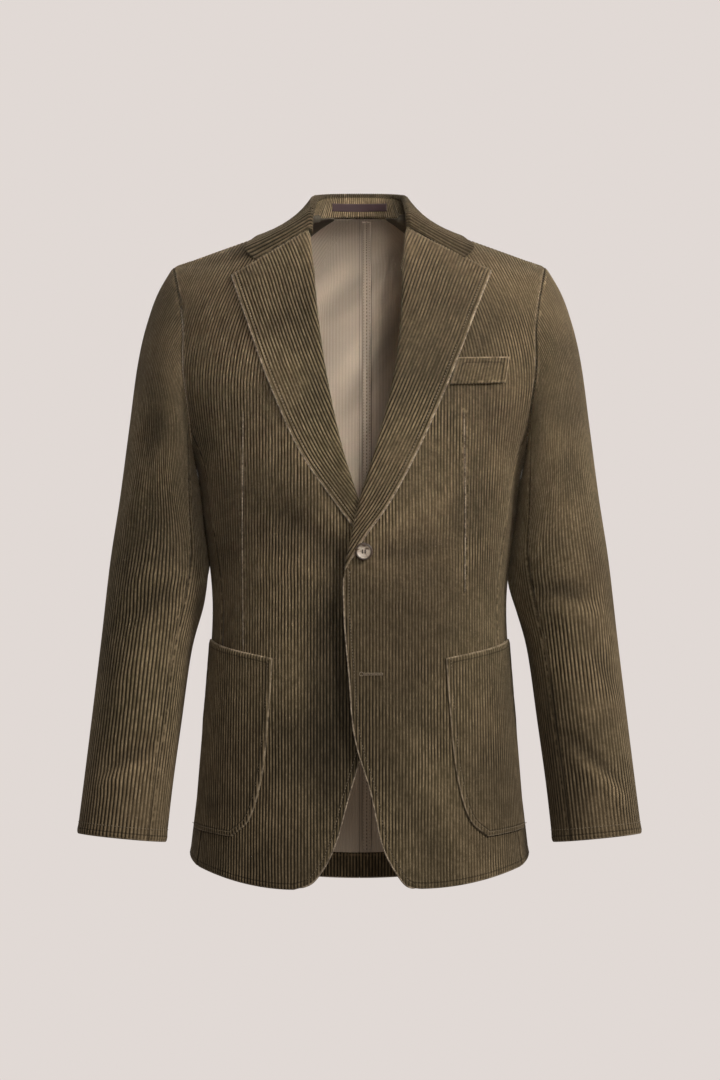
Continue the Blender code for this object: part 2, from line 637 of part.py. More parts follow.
def make_hem_facing():
    """The back's turned-up hem, inside it, all the way between the side-back seams."""
    seam = math.radians(BACK_SEAM_ANGLE)
    _, seam_y, _ = armhole(seam)
    part = np.linspace(-1, 1, 17)
    part = np.sign(part) * (1 - (1 - np.abs(part)) ** 1.35)
    up = np.array([0.0012, HEM_TURNING])
    reach = side_x(seam_y * np.ones(1), np.array([HEM_BACK_Z]))[0] - 0.006
    x = np.broadcast_to((part * reach)[:, None], (len(part), 2))
    hem = HEM_BACK_Z + (HEM_SIDE_Z - HEM_BACK_Z) * np.abs(part) ** 2
    z = hem[:, None] + up[None, :]
    points = np.stack([x, body_y(x, z, 1), z], axis=2)
    middle = points * np.array([0.3, 0.0, 1.0])
    points = points - outward_normals(points, middle) * (CLOTH + LAID_GAP)
    return wall("back_hem_facing", points, middle, 0.0012)


def make_back_tape():
    """The binding over the centre-back seam, inside, from the neck to the hem facing."""
    rows = back_border(ROWS)[:, 1]
    low, high = HEM_BACK_Z + HEM_TURNING + 0.002, BACK_NECK_Z - 0.009
    z = np.concatenate([[low], rows[(rows > low) & (rows < high)], [high]])
    x = BACK_TAPE_X + np.array([-0.5, 0.5]) * BACK_TAPE_WIDTH
    grid_x, grid_z = np.meshgrid(x, z, indexing="ij")
    points = np.stack([grid_x, body_y(grid_x, grid_z, 1), grid_z], axis=2)
    middle = points * np.array([1.0, 0.0, 1.0])
    points = points - outward_normals(points, middle) * (CLOTH + LAID_GAP * 0.7)
    return wall("centre_back_binding", points, middle, 0.0010)


def make_button(name, x, z, face_y, shank):
    """A turned four-hole button, facing the front, on a thread shank that starts at face_y."""
    profile = (
        # radius share, height share
        (0.00, -shank / BUTTON_THICKNESS), (0.20, -shank / BUTTON_THICKNESS), (0.20, 0.00),
        (0.86, 0.00), (1.00, 0.34), (1.00, 0.72), (0.90, 1.00), (0.74, 0.98), (0.60, 0.62),
        (0.00, 0.56),
    )
    mesh = bmesh.new()
    line = [mesh.verts.new((share * BUTTON_RADIUS, 0.0, height * BUTTON_THICKNESS))
            for share, height in profile]
    edges = [mesh.edges.new(pair) for pair in zip(line, line[1:])]
    bmesh.ops.spin(mesh, geom=line + edges, cent=(0, 0, 0), axis=(0, 0, 1), angle=2 * math.pi,
                   steps=20, use_merge=True)
    bmesh.ops.remove_doubles(mesh, verts=mesh.verts[:], dist=0.00001)
    bmesh.ops.triangulate(mesh, faces=mesh.faces[:])
    bmesh.ops.recalc_face_normals(mesh, faces=mesh.faces[:])
    button = finish_object(name, mesh, "horn")
    for corner in range(4):
        turn = math.radians(45 + 90 * corner)
        cut = bmesh.new()
        bmesh.ops.create_cone(cut, cap_ends=True, segments=8, radius1=BUTTON_HOLE_RADIUS,
                              radius2=BUTTON_HOLE_RADIUS, depth=4 * BUTTON_THICKNESS)
        cutter = finish_object("%s_hole_%d" % (name, corner), cut, "horn")
        cutter.location = (BUTTON_HOLE_REACH * math.cos(turn), BUTTON_HOLE_REACH * math.sin(turn), 0)
        cutter.hide_render = True
        cutter.display_type = "WIRE"
        cutter.parent = button
        boolean = button.modifiers.new("hole_%d" % corner, "BOOLEAN")
        boolean.operation = "DIFFERENCE"
        boolean.solver = "EXACT"
        boolean.object = cutter
    button.location = (x, face_y - shank, z)
    button.rotation_euler = (math.radians(90), 0, 0)
    return button


# ---------------------------------------------------------------- the whole jacket
for old in list(bpy.data.objects):
    bpy.data.objects.remove(old, do_unlink=True)

materials = {name: make_material(name) for name in COLOURS}

make_front("front_left", OVER_FRONT_EDGE, 1)
make_front("front_right", UNDER_FRONT_EDGE, -1)
make_lapel("lapel_left", OVER_LAPEL, 1)
make_lapel("lapel_right", UNDER_LAPEL, -1)
for side, word in ((1, "left"), (-1, "right")):
    make_back("back_" + word, side)
    make_side("side_" + word, side)
    make_sleeve(side, word)
    make_pocket("patch_pocket_" + word, side)
    make_neck_facing("neck_facing_" + word, side)
make_collar_fall()
make_collar_stand()
make_label()
make_welt()
make_hem_facing()
make_back_tape()

over_face = float(front_y(np.array(BUTTON_X), np.array(UPPER_BUTTON_Z), 1))
under_face = float(front_y(np.array(BUTTON_X), np.array(LOWER_BUTTON_Z), -1))
make_button("button_upper", BUTTON_X, UPPER_BUTTON_Z, over_face - SEAM_GAP, BUTTON_SHANK)
make_button("button_lower", BUTTON_X, LOWER_BUTTON_Z, under_face - SEAM_GAP, LOWER_SHANK)
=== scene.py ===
"""Looks of the corduroy jacket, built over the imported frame.

Metres, +Z up.  The front faces -Y and the wearer's left is +X; the origin lies between the
shoulders.  Every cloth piece is a thin shell whose wales are real ridges that run the way its
cloth was cut.  Most pieces are worked out on the body's form unrolled: "arc" is the distance
across from the centre line and "down" the distance from the shoulder line, over the cloth.
"""

import math

import bpy
import numpy as np
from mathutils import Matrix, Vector


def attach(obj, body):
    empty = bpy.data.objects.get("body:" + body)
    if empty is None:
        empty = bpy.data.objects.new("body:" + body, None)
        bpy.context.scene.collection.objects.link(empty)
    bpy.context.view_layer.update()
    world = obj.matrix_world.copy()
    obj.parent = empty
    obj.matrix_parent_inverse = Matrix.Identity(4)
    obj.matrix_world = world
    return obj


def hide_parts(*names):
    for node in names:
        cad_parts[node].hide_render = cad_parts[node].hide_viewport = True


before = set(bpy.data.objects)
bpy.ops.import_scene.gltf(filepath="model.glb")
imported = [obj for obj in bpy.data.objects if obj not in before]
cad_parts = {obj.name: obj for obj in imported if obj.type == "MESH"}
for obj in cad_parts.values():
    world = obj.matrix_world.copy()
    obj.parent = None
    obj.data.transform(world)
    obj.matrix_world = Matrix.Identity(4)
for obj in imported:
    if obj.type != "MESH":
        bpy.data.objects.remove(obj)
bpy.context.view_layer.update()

# ---------------------------------------------------------------- driving dimensions
CLOTH = 0.0020              # thickness of one wall of corduroy
SEAM_GAP = 0.0003           # space between two pieces at a seam
LAID_GAP = 0.0011           # space under a piece that lies on a panel
LAP_DEPTH = 0.0068          # how far the under front runs behind the over front
ROUNDNESS = 2.4             # exponent of the rounded body sections

WALE = 0.0036               # pitch of the ridges
SLEEVE_WALE = 0.0042        # the sleeves' wales lie further apart, round a fuller tube
WALE_HEIGHT = 0.0010
WALE_SHAPE = ((0.00, 0.0), (0.27, 1.0), (0.73, 1.0))     # share of a pitch, share of the height
ROW = 0.0082                # spacing of the rows along the wales
END_ROWS = (0.0015, 0.0045) # closer ones next to a piece's ends

SHOULDER_SLOPE = 0.362      # the shoulder line: its drop for each unit outward,
SHOULDER_TOP = 0.0322       # the height it starts from, and how it rounds the nape
NECK_ROUND = 0.030
SHOULDER_REACH = 0.2065
SHOULDER_ROLL = 0.120       # drop over which a panel turns upright below the shoulder line,
NECK_ROLL = 0.080           # and below the nape
NECK_SIDE_X = 0.0665
BACK_NECK_Z = 0.0145
LEAN_FROM = -0.190          # above this height the wales lean towards the neck,
LEAN = 2.1                  # by this much for each metre squared

ARMHOLE_TOP_Z = SHOULDER_TOP - SHOULDER_SLOPE * math.hypot(SHOULDER_REACH, NECK_ROUND)
ARMHOLE_BOTTOM_Z = -0.2560
ARMHOLE_FRONT = 0.0730      # reach of the armhole in front of the shoulder seam
ARMHOLE_BACK = 0.0780       # and behind it
FRONT_SEAM_ANGLE = -132.0   # where the side seams meet the armhole, round it from the shoulder
BACK_SEAM_ANGLE = 120.0

HEM_SIDE_Z = -0.7080
HEM_SIDE_RISE = 0.0100
HEM_BACK_Z = -0.7290
HEM_TURNING = 0.0290
BACK_TAPE_WIDTH = 0.0100    # bound centre-back seam, inside, pressed to the wearer's left
BACK_TAPE_X = 0.0082

BODY_RINGS = (
    # z,     half_width, front,  back
    (0.040,  0.2000, 0.112, 0.122),
    (-0.044, 0.2065, 0.117, 0.129),
    (-0.105, 0.2190, 0.121, 0.133),
    (-0.150, 0.2240, 0.124, 0.134),
    (-0.220, 0.1995, 0.126, 0.129),
    (-0.256, 0.1840, 0.125, 0.124),
    (-0.330, 0.1720, 0.120, 0.112),
    (-0.414, 0.1628, 0.115, 0.103),
    (-0.500, 0.1670, 0.118, 0.110),
    (-0.600, 0.1765, 0.126, 0.123),
    (-0.700, 0.1880, 0.132, 0.130),
    (-0.740, 0.1920, 0.133, 0.132),
)
# Inner border of each front: from the hem's corner up the cutaway and the front edge, along
# the roll line to the gorge, then round the neck to the shoulder seam.
OVER_FRONT_EDGE = (
    # along,  x,      z
    (0.000, 0.0663, -0.7303),
    (0.030, 0.0518, -0.7270),
    (0.060, 0.0400, -0.7125),
    (0.110, 0.0250, -0.6820),
    (0.170, 0.0128, -0.6266),
    (0.240, -0.0040, -0.5700),
    (0.340, -0.0117, -0.4950),
    (0.440, -0.0173, -0.4200),
    (0.500, -0.0165, -0.3800),
    (0.580, -0.0006, -0.3066),
    (0.660, 0.0200, -0.2420),
    (0.760, 0.0385, -0.1639),
    (0.860, 0.0475, -0.0800),
    (0.945, 0.0530, 0.0010),
    (1.000, 0.0665, 0.0062),
)
UNDER_FRONT_EDGE = (
    # along,  x (towards the wearer's right is positive here), z
    (0.000, 0.0719, -0.7314),
    (0.030, 0.0530, -0.7248),
    (0.060, 0.0407, -0.7103),
    (0.110, 0.0260, -0.6800),
    (0.170, 0.0110, -0.6266),
    (0.240, -0.0060, -0.5700),
    (0.340, -0.0180, -0.4950),
    (0.440, -0.0245, -0.4200),
    (0.500, -0.0215, -0.3700),
    (0.580, 0.0004, -0.3066),
    (0.660, 0.0200, -0.2420),
    (0.760, 0.0375, -0.1639),
    (0.860, 0.0487, -0.0800),
    (0.945, 0.0574, -0.0010),
    (1.000, 0.0665, 0.0062),
)
NECK_SHARE = 0.945          # how far along its border a front reaches the gorge
ROLL_SHARE = 0.500          # and, below that, the foot of its roll line

OVER_LAPEL = (
    # along, roll_x,  roll_z,   edge_x,  edge_z
    (0.00, -0.0165, -0.3800, -0.0155, -0.3795),
    (0.12, -0.0100, -0.3480, 0.0030, -0.3475),
    (0.25, -0.0006, -0.3066, 0.0313, -0.3080),
    (0.40, 0.0173, -0.2498, 0.0600, -0.2560),
    (0.60, 0.0385, -0.1639, 0.0960, -0.1760),
    (0.80, 0.0475, -0.0800, 0.1290, -0.0910),
    (1.00, 0.0530, 0.0010, 0.1466, -0.0468),
)
UNDER_LAPEL = (
    (0.00, -0.0205, -0.3690, -0.0195, -0.3695),
    (0.12, -0.0130, -0.3420, -0.0020, -0.3440),
    (0.25, 0.0006, -0.3050, 0.0245, -0.3080),
    (0.40, 0.0180, -0.2500, 0.0608, -0.2565),
    (0.60, 0.0370, -0.1640, 0.0975, -0.1780),
    (0.80, 0.0487, -0.0800, 0.1290, -0.0900),
    (1.00, 0.0574, -0.0010, 0.1422, -0.0524),
)
# Collar, from the gorge round to the centre back: the fold at the top of the stand, a point
# that pulls the fall's profile, and the fall's outer edge.
COLLAR = (
    # along, fold x, y, z,            pull x, y, z,             edge x, y, z
    (0.00, 0.0560, -0.0560, 0.0030, 0.0850, -0.0660, -0.0150, 0.1140, -0.0720, -0.0330),
    (0.08, 0.0560, -0.0480, 0.0140, 0.0850, -0.0560, -0.0060, 0.1262, -0.0590, -0.0240),
    (0.22, 0.0548, -0.0280, 0.0262, 0.0755, -0.0330, 0.0028, 0.1190, -0.0330, -0.0130),
    (0.38, 0.0535, -0.0020, 0.0340, 0.0720, 0.0000, 0.0068, 0.1085, 0.0040, -0.0062),
    (0.58, 0.0475, 0.0310, 0.0374, 0.0660, 0.0400, 0.0150, 0.0935, 0.0500, -0.0085),
    (0.78, 0.0310, 0.0535, 0.0399, 0.0440, 0.0700, 0.0260, 0.0590, 0.0835, -0.0115),
    (1.00, 0.0000, 0.0620, 0.0408, 0.0000, 0.0830, 0.0290, 0.0000, 0.1000, -0.0070),
)
SLEEVE_RINGS = (
    # along, outer_x, outer_z, inner_x, inner_z, half_depth, centre_y
    (0.00, 0.2065, -0.0440, 0.1850, -0.2560, 0.0755, 0.0025),
    (0.06, 0.2220, -0.0700, 0.1830, -0.2680, 0.0775, 0.0020),
    (0.14, 0.2350, -0.1050, 0.1787, -0.2850, 0.0780, 0.0020),
    (0.24, 0.2455, -0.1500, 0.1752, -0.3100, 0.0765, 0.0040),
    (0.35, 0.2550, -0.2200, 0.1716, -0.3400, 0.0740, 0.0060),
    (0.46, 0.2655, -0.3000, 0.1670, -0.3750, 0.0700, 0.0040),
    (0.57, 0.2760, -0.3700, 0.1725, -0.4150, 0.0655, -0.0040),
    (0.69, 0.2855, -0.4550, 0.1870, -0.4700, 0.0600, -0.0140),
    (0.80, 0.2955, -0.5400, 0.1980, -0.5480, 0.0530, -0.0240),
    (0.91, 0.3045, -0.6150, 0.2080, -0.6220, 0.0465, -0.0360),
    (1.00, 0.3115, -0.6720, 0.2145, -0.6815, 0.0425, -0.0460),
)
SLEEVE_FRONT_SEAM = -128.0  # degrees round the sleeve from its outer line, front negative
SLEEVE_BACK_SEAM = 132.0
SLEEVE_GRAIN = -45.0        # the wales run straight down this line

POCKET_INNER = (
    # down,   x,      z
    (0.00, 0.0945, -0.4770),
    (0.25, 0.0990, -0.5400),
    (0.55, 0.1070, -0.6100),
    (0.80, 0.1210, -0.6560),
    (1.00, 0.1400, -0.6740),
)
POCKET_OUTER_Y = -0.020
POCKET_MOUTH_OUTER_Z = -0.4570
POCKET_BOTTOM_OUTER_Z = -0.6640
WELT_CORNERS = (
    # x,      z
    (0.1000, -0.1762),
    (0.1611, -0.1739),
    (0.1656, -0.1445),
    (0.1085, -0.1455),
)


# ---------------------------------------------------------------- curves and the body's form
ARMHOLE_MIDDLE_Z = 0.5 * (ARMHOLE_TOP_Z + ARMHOLE_BOTTOM_Z)
ARMHOLE_HALF = 0.5 * (ARMHOLE_TOP_Z - ARMHOLE_BOTTOM_Z)


def through(table, at):
    """A smooth curve through a table's rows; the first column says how far along each is."""
    rows = np.asarray(table, float)
    if rows[0, 0] > rows[-1, 0]:
        rows = rows[::-1]
    knots, values = rows[:, 0], rows[:, 1:]
    slopes = np.gradient(values, knots, axis=0)
    at = np.clip(np.asarray(at, float), knots[0], knots[-1])
    low = np.clip(np.searchsorted(knots, at, side="right") - 1, 0, len(knots) - 2)
    step = knots[low + 1] - knots[low]
    part = ((at - knots[low]) / step)[..., None]
    step = step[..., None]
    square, cube = part ** 2, part ** 3
    return ((2 * cube - 3 * square + 1) * values[low]
            + (cube - 2 * square + part) * step * slopes[low]
            + (3 * square - 2 * cube) * values[low + 1]
            + (cube - square) * step * slopes[low + 1])


def ease(value, start, end):
    """0 before start, 1 after end, smooth between; start may be the larger."""
    part = np.clip((value - start) / (end - start), 0.0, 1.0)
    return part * part * (3.0 - 2.0 * part)


def shoulder_z(x):
    return SHOULDER_TOP - SHOULDER_SLOPE * np.hypot(x, NECK_ROUND)


def roll_at(x):
    return NECK_ROLL + (SHOULDER_ROLL - NECK_ROLL) * ease(np.abs(x), 0.0, 0.10)


def plain_depth(x, z, facing):
    """y of the body's front (facing -1) or back (+1), before the armhole shapes it."""
    ring = through(BODY_RINGS, z)
    reach = ring[..., 1] if facing < 0 else ring[..., 2]
    across = np.clip(np.abs(x) / ring[..., 0], 0.0, 0.999)
    depth = reach * (1.0 - across ** ROUNDNESS) ** (1.0 / ROUNDNESS)
    turn = np.clip((shoulder_z(x) - z) / roll_at(x), 0.0, 1.0)
    return facing * depth * np.sqrt(1.0 - (1.0 - turn) ** 2)


def side_x(y, z):
    """x of the body's side at depth y and height z."""
    ring = through(BODY_RINGS, z)
    reach = np.where(y < 0, ring[..., 1], ring[..., 2])
    return ring[..., 0] * (1.0 - np.clip(np.abs(y) / reach, 0, 0.999) ** ROUNDNESS) ** (1.0 / ROUNDNESS)


def armhole(angle):
    """The armhole seam, by angle in radians from the shoulder; negative runs down the front."""
    angle = np.asarray(angle, float)
    z = ARMHOLE_MIDDLE_Z + ARMHOLE_HALF * np.cos(angle)
    reach = np.where(np.sin(angle) < 0, ARMHOLE_FRONT, ARMHOLE_BACK)
    y = reach * np.sin(angle)
    return side_x(y, z), y, z


def armhole_angle(z):
    return np.arccos(np.clip((z - ARMHOLE_MIDDLE_Z) / ARMHOLE_HALF, -1.0, 1.0))


def drawn(x, z, facing):
    """How far the armhole seam draws the cloth near it forward or back."""
    hole_x, hole_y, _ = armhole(facing * armhole_angle(z))
    miss = hole_y - plain_depth(hole_x, z, facing)
    miss = np.where((z > ARMHOLE_BOTTOM_Z) & (z < ARMHOLE_TOP_Z), miss, 0.0)
    share = np.clip((np.abs(x) - 0.08) / (hole_x - 0.08), 0.0, 1.0) ** 3
    return miss * share * ease(z, -0.225, -0.185)


def body_y(x, z, facing):
    """y of the finished front or back at x and z."""
    x, z = np.broadcast_arrays(np.asarray(x, float), np.asarray(z, float))
    return plain_depth(x, z, facing) + drawn(x, z, facing)


def lap(x, z, side):
    """How far the under front sinks behind the over front."""
    if side > 0:
        return 0.0
    return LAP_DEPTH * ease(x, -0.075, -0.015) * ease(z, -0.170, -0.260)


def front_y(x, z, side):
    return body_y(x, z, -1) + lap(x, z, side)


# ---------------------------------------------------------------- the body unrolled
SECTION_Z = np.linspace(-0.745, 0.042, 200)
SECTION_ARC = np.linspace(0.0, 0.330, 331)


def unroll(facing):
    """x, depth and the length of the body's sections, by height and arc from the centre."""
    turn = np.linspace(0.0, 0.5 * math.pi, 721)
    ring = through(BODY_RINGS, SECTION_Z)
    reach = ring[:, 1] if facing < 0 else ring[:, 2]
    scale = (np.sin(turn) ** ROUNDNESS + np.cos(turn) ** ROUNDNESS) ** (-1.0 / ROUNDNESS)
    x = ring[:, :1] * np.sin(turn) * scale
    depth = reach[:, None] * np.cos(turn) * scale
    steps = np.hypot(np.diff(x), np.diff(depth))
    arc = np.concatenate([np.zeros((len(x), 1)), np.cumsum(steps, axis=1)], axis=1)
    xs = np.array([np.interp(SECTION_ARC, row, value) for row, value in zip(arc, x)])
    depths = np.array([np.interp(SECTION_ARC, row, value) for row, value in zip(arc, depth)])
    return xs, depths, arc[:, -1]


SECTIONS = {facing: unroll(facing) for facing in (-1, 1)}


def look_up(table, arc, z):
    """A value between the entries of a table by height and arc."""
    row = np.clip((z - SECTION_Z[0]) / (SECTION_Z[1] - SECTION_Z[0]), 0, len(SECTION_Z) - 1.001)
    column = np.clip(np.abs(arc) / SECTION_ARC[1], 0, len(SECTION_ARC) - 1.001)
    i, j = row.astype(int), column.astype(int)
    u, v = row - i, column - j
    return ((1 - u) * ((1 - v) * table[i, j] + v * table[i, j + 1])
            + u * ((1 - v) * table[i + 1, j] + v * table[i + 1, j + 1]))


def lean(arc, z):
    """How far towards the neck a wale has leant at height z."""
    return LEAN * np.clip(z - LEAN_FROM, 0.0, 1.0) ** 2 * ease(arc, 0.030, 0.100)


def body_point(arc, down, facing, side):
    """A point of a front or back; arc is positive towards the piece's own side."""
    arc, down = np.broadcast_arrays(np.asarray(arc, float), np.asarray(down, float))
    xs, depths, _ = SECTIONS[facing]
    x = arc.copy()
    for _ in range(7):
        roll = roll_at(x)
        turn = np.clip(down / roll, 0.0, 0.5 * math.pi)
        drop = roll * (1.0 - np.cos(turn)) + np.maximum(down - roll * 0.5 * math.pi, 0.0)
        z = shoulder_z(x) - drop
        straight = arc - lean(arc, z)
        x = np.sign(straight) * look_up(xs, straight, z)
    y = facing * look_up(depths, straight, z) * np.sin(turn) + drawn(x, z, facing)
    if facing < 0:
        y = np.minimum(y + lap(side * x, z, side), -SEAM_GAP)
    else:
        y = np.maximum(y, SEAM_GAP)
    return np.stack([side * x, y, z], axis=-1)


def unrolled(x, z, facing):
    """arc and down of points of a front or back, given by side-positive x and by z."""
    xs = SECTIONS[facing][0]
    straight = np.array([
        math.copysign(np.interp(abs(one_x), look_up(xs, SECTION_ARC, np.full_like(SECTION_ARC, one_z)),
                                SECTION_ARC), one_x) for one_x, one_z in zip(x, z)])
    arc = straight.copy()
    for _ in range(6):
        arc = straight + lean(arc, z)
    roll = roll_at(x)
    drop = np.maximum(shoulder_z(x) - z, 0.0)
    turned = roll * np.arccos(np.clip(1.0 - drop / roll, 0.0, 1.0))
    return arc, turned + np.maximum(drop - roll, 0.0)


# ---------------------------------------------------------------- shells of corduroy
SEAM_DIP = 0.0010           # how far the cloth sinks at a seam
SEAM_DIP_WIDTH = 0.0022
EDGE_PUFF = 0.0007          # how far it swells behind a turned and stitched edge
EDGE_PUFF_AT = 0.0035
EDGE_PUFF_WIDTH = 0.0022


def wale_columns(start, end, pitch=WALE):
    """Where a piece's columns of points lie across it: three to each wale, and its borders."""
    marks = np.arange(math.floor(start / pitch), math.ceil(end / pitch) + 1)
    places = ((marks[:, None] + np.array([share for share, _ in WALE_SHAPE])) * pitch).ravel()
    margin = 0.08 * pitch
    places = places[(places > start + margin) & (places < end - margin)]
    return np.concatenate([[start], places, [end]])


def row_shares(length, step=ROW):
    """Shares of a length at which its rows lie, with closer ones at its ends."""
    near = np.array([0.0] + list(END_ROWS))
    between = np.linspace(END_ROWS[-1], length - END_ROWS[-1],
                          max(3, int((length - 2 * END_ROWS[-1]) / step) + 1))
    return np.concatenate([near, between[1:-1], length - near[::-1]]) / length


def grid_normals(points, away_from):
    """Unit normals of a grid of points, turned away from inner points."""
    normals = np.cross(np.gradient(points, axis=0), np.gradient(points, axis=1))
    normals /= np.maximum(np.linalg.norm(normals, axis=2, keepdims=True), 1e-12)
    flip = np.sum(normals * (points - away_from), axis=2) < 0
    normals[flip] *= -1.0
    return normals


def distance_to(points, lines):
    """Distance of each point of a grid from the nearest of some polylines."""
    flat = points.reshape(-1, 3)
    best = np.full(len(flat), 1.0)
    for line in lines:
        start, step = line[:-1], np.diff(line, axis=0)
        square = np.maximum(np.sum(step ** 2, axis=1), 1e-12)
        for one_start, one_step, one_square in zip(start, step, square):
            offset = flat - one_start
            along = np.clip(offset @ one_step / one_square, 0.0, 1.0)
            best = np.minimum(best, np.linalg.norm(offset - along[:, None] * one_step, axis=1))
    return best.reshape(points.shape[:2])


def wale_height(wale):
    shares = [share for share, _ in WALE_SHAPE] + [1.0]
    heights = [height for _, height in WALE_SHAPE] + [WALE_SHAPE[0][1]]
    return np.interp(np.mod(wale, 1.0), shares, heights)


def grid_quads(count_u, count_v):
    number = np.arange(count_u * count_v).reshape(count_u, count_v)
    return np.stack([number[:-1, :-1], number[1:, :-1], number[1:, 1:], number[:-1, 1:]],
                    axis=-1).reshape(-1, 4)


def rim_faces(faces, count):
    """Faces round a sheet's borders, to the same points on its other side, count further on."""
    seen = {pair: True for face in faces for pair in zip(face, face[1:] + face[:1])}
    return [(b, a, a + count, b + count) for a, b in seen if (b, a) not in seen]


def cut_faces(inside):
    """Faces of a grid of quads, cut along the line where inside turns negative.

    Also gives the points added on that line, as (corner inside, corner outside, share).
    """
    quads = grid_quads(*inside.shape)
    value = inside.ravel()
    good = value > 0
    held = good[quads].sum(axis=1)
    faces = quads[held == 4].tolist()
    cuts, places = [], {}

    def cut(a, b):
        key = (min(a, b), max(a, b))
        if key not in places:
            places[key] = value.size + len(cuts)
            cuts.append((a, b, value[a] / (value[a] - value[b])))
        return places[key]
    for quad in quads[(held > 0) & (held < 4)].tolist():
        outline = []
        for here, there in zip(quad, quad[1:] + quad[:1]):
            if good[here]:
                outline.append(here)
            if good[here] != good[there]:
                outline.append(cut(here, there))
        if len(outline) > 2:
            faces.append(outline)
    return faces, cuts


def with_cuts(values, cuts):
    """A flat array of values, one for each point, carried on to the points added by a cut."""
    if not cuts:
        return values
    a, b, share = (np.array(column) for column in zip(*cuts))
    share = share.reshape((-1,) + (1,) * (values.ndim - 1))
    return np.concatenate([values, values[a] * (1 - share) + values[b] * share])


def shell(name, points, normals, wale, down, inside=None, edges=(), seams=(), thickness=CLOTH,
          height=WALE_HEIGHT, keep=None, plain_inside=True, cloth="corduroy", fold=0.0):
    """A closed shell of corduroy whose outer face is a grid: rows along axis 0, wales along it.

    inside is positive where the cloth is; edges are its free edges and seams its sewn ones.
    """
    seam = distance_to(points, seams) if len(seams) else np.full(wale.shape, 1.0)
    edge = distance_to(points, edges) if len(edges) else np.full(wale.shape, 1.0)
    pressed = SEAM_DIP * np.exp(-(seam / SEAM_DIP_WIDTH) ** 2)
    puffed = EDGE_PUFF * np.exp(-((edge - EDGE_PUFF_AT) / EDGE_PUFF_WIDTH) ** 2)
    rise = height * wale_height(wale) * (0.25 + 0.75 * ease(edge, 0.0, 0.0022)) - pressed + puffed
    outer = points + normals * rise[..., None]
    inner = points - normals * thickness
    if keep:
        inner = keep(inner)
    if inside is None:
        inside = np.ones(wale.shape)
    faces, cuts = cut_faces(inside)
    sheets = [with_cuts(grid.reshape(-1, 3), cuts) for grid in (outer, inner)]
    count = len(sheets[0])
    probe = faces[len(faces) // 2][:3]
    a, b, c = sheets[0][probe]
    if np.dot(np.cross(b - a, c - b), normals.reshape(-1, 3)[probe[0] % normals[..., 0].size]) < 0:
        faces = [face[::-1] for face in faces]
    inner_faces = [[corner + count for corner in reversed(face)] for face in faces]
    every = faces + inner_faces + rim_faces(faces, count)
    used = np.unique(np.concatenate([np.array(face) for face in every]))
    new = np.zeros(2 * count, int)
    new[used] = np.arange(len(used))
    flat_new = new.tolist()
    data = bpy.data.meshes.new(name)
    data.from_pydata(np.concatenate(sheets)[used].tolist(), [],
                     [[flat_new[corner] for corner in face] for face in every])
    # fold carries the creases' lift; the corduroy materials paint shade and light into the colour by it.
    marks = {"wale": wale, "down": down, "edge": edge, "seam": seam, "fold": fold}
    for mark, grid in marks.items():
        grid = np.broadcast_to(grid, points.shape[:2])
        one = with_cuts(grid.reshape(-1).astype(float), cuts)
        data.attributes.new(mark, "FLOAT", "POINT").data.foreach_set("value", np.tile(one, 2)[used])
    data.materials.append(MATERIALS[cloth])
    if plain_inside:
        data.materials.append(MATERIALS["corduroy_inside"])
        lining = np.zeros(len(every), np.int32)
        lining[len(faces):len(faces) + len(inner_faces)] = 1
        data.polygons.foreach_set("material_index", lining)
    data.shade_smooth()
    data.update()
    piece = bpy.data.objects.new(name, data)
    bpy.context.scene.collection.objects.link(piece)
    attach(piece, "root")
    return piece


# ---------------------------------------------------------------- materials
# GROOVE, the ground between the wales, is darker than the cloth's own colour: painted shade in the grooves,
# which the seams and the stitching channel also take. PILE_BRIGHT is the crests' pale pile, partly worn and
# partly a painted highlight.
GROOVE = (0.019, 0.0138, 0.0075)
PILE = (0.130, 0.092, 0.050)
PILE_BRIGHT = (0.350, 0.264, 0.160)
PILE_OLIVE = (0.094, 0.072, 0.037)
WORN = (0.400, 0.315, 0.215)
SHEEN_TINT = (0.85, 0.72, 0.52, 1.0)
INSIDE_TAN = (0.760, 0.645, 0.515)
INSIDE_RIB = (0.680, 0.570, 0.450)
INSIDE_PATCH = (0.70, 0.60, 0.475)
INSIDE_SPECK = (0.48, 0.40, 0.31)
EDGE_DARK, EDGE_PALE, EDGE_NAP = (0.120, 0.086, 0.052), (0.500, 0.400, 0.285), (0.060, 0.043, 0.027)
FACING_DARK, FACING_PALE = (0.075, 0.064, 0.046), (0.115, 0.098, 0.072)
HORN_DARK, HORN_PALE = (0.120, 0.082, 0.056), (0.50, 0.42, 0.335)
HORN_FLECK, HORN_RIM = (0.68, 0.61, 0.52), (0.060, 0.036, 0.022)
LABEL_DARK, LABEL_PALE = (0.030, 0.0125, 0.0155), (0.048, 0.021, 0.025)


def node(tree, kind, **settings):
    made = tree.nodes.new(kind)
    for key, value in settings.items():
        setattr(made, key, value)
    return made


def feed(tree, socket, value):
    """Give an input a number, a colour, a Signal or another node's output."""
    if isinstance(value, Signal):
        tree.links.new(value.output, socket)
    elif isinstance(value, bpy.types.NodeSocket):
        tree.links.new(value, socket)
    elif isinstance(value, tuple) and len(value) < len(socket.default_value):
        socket.default_value = value + (1.0,)
    else:
        socket.default_value = value


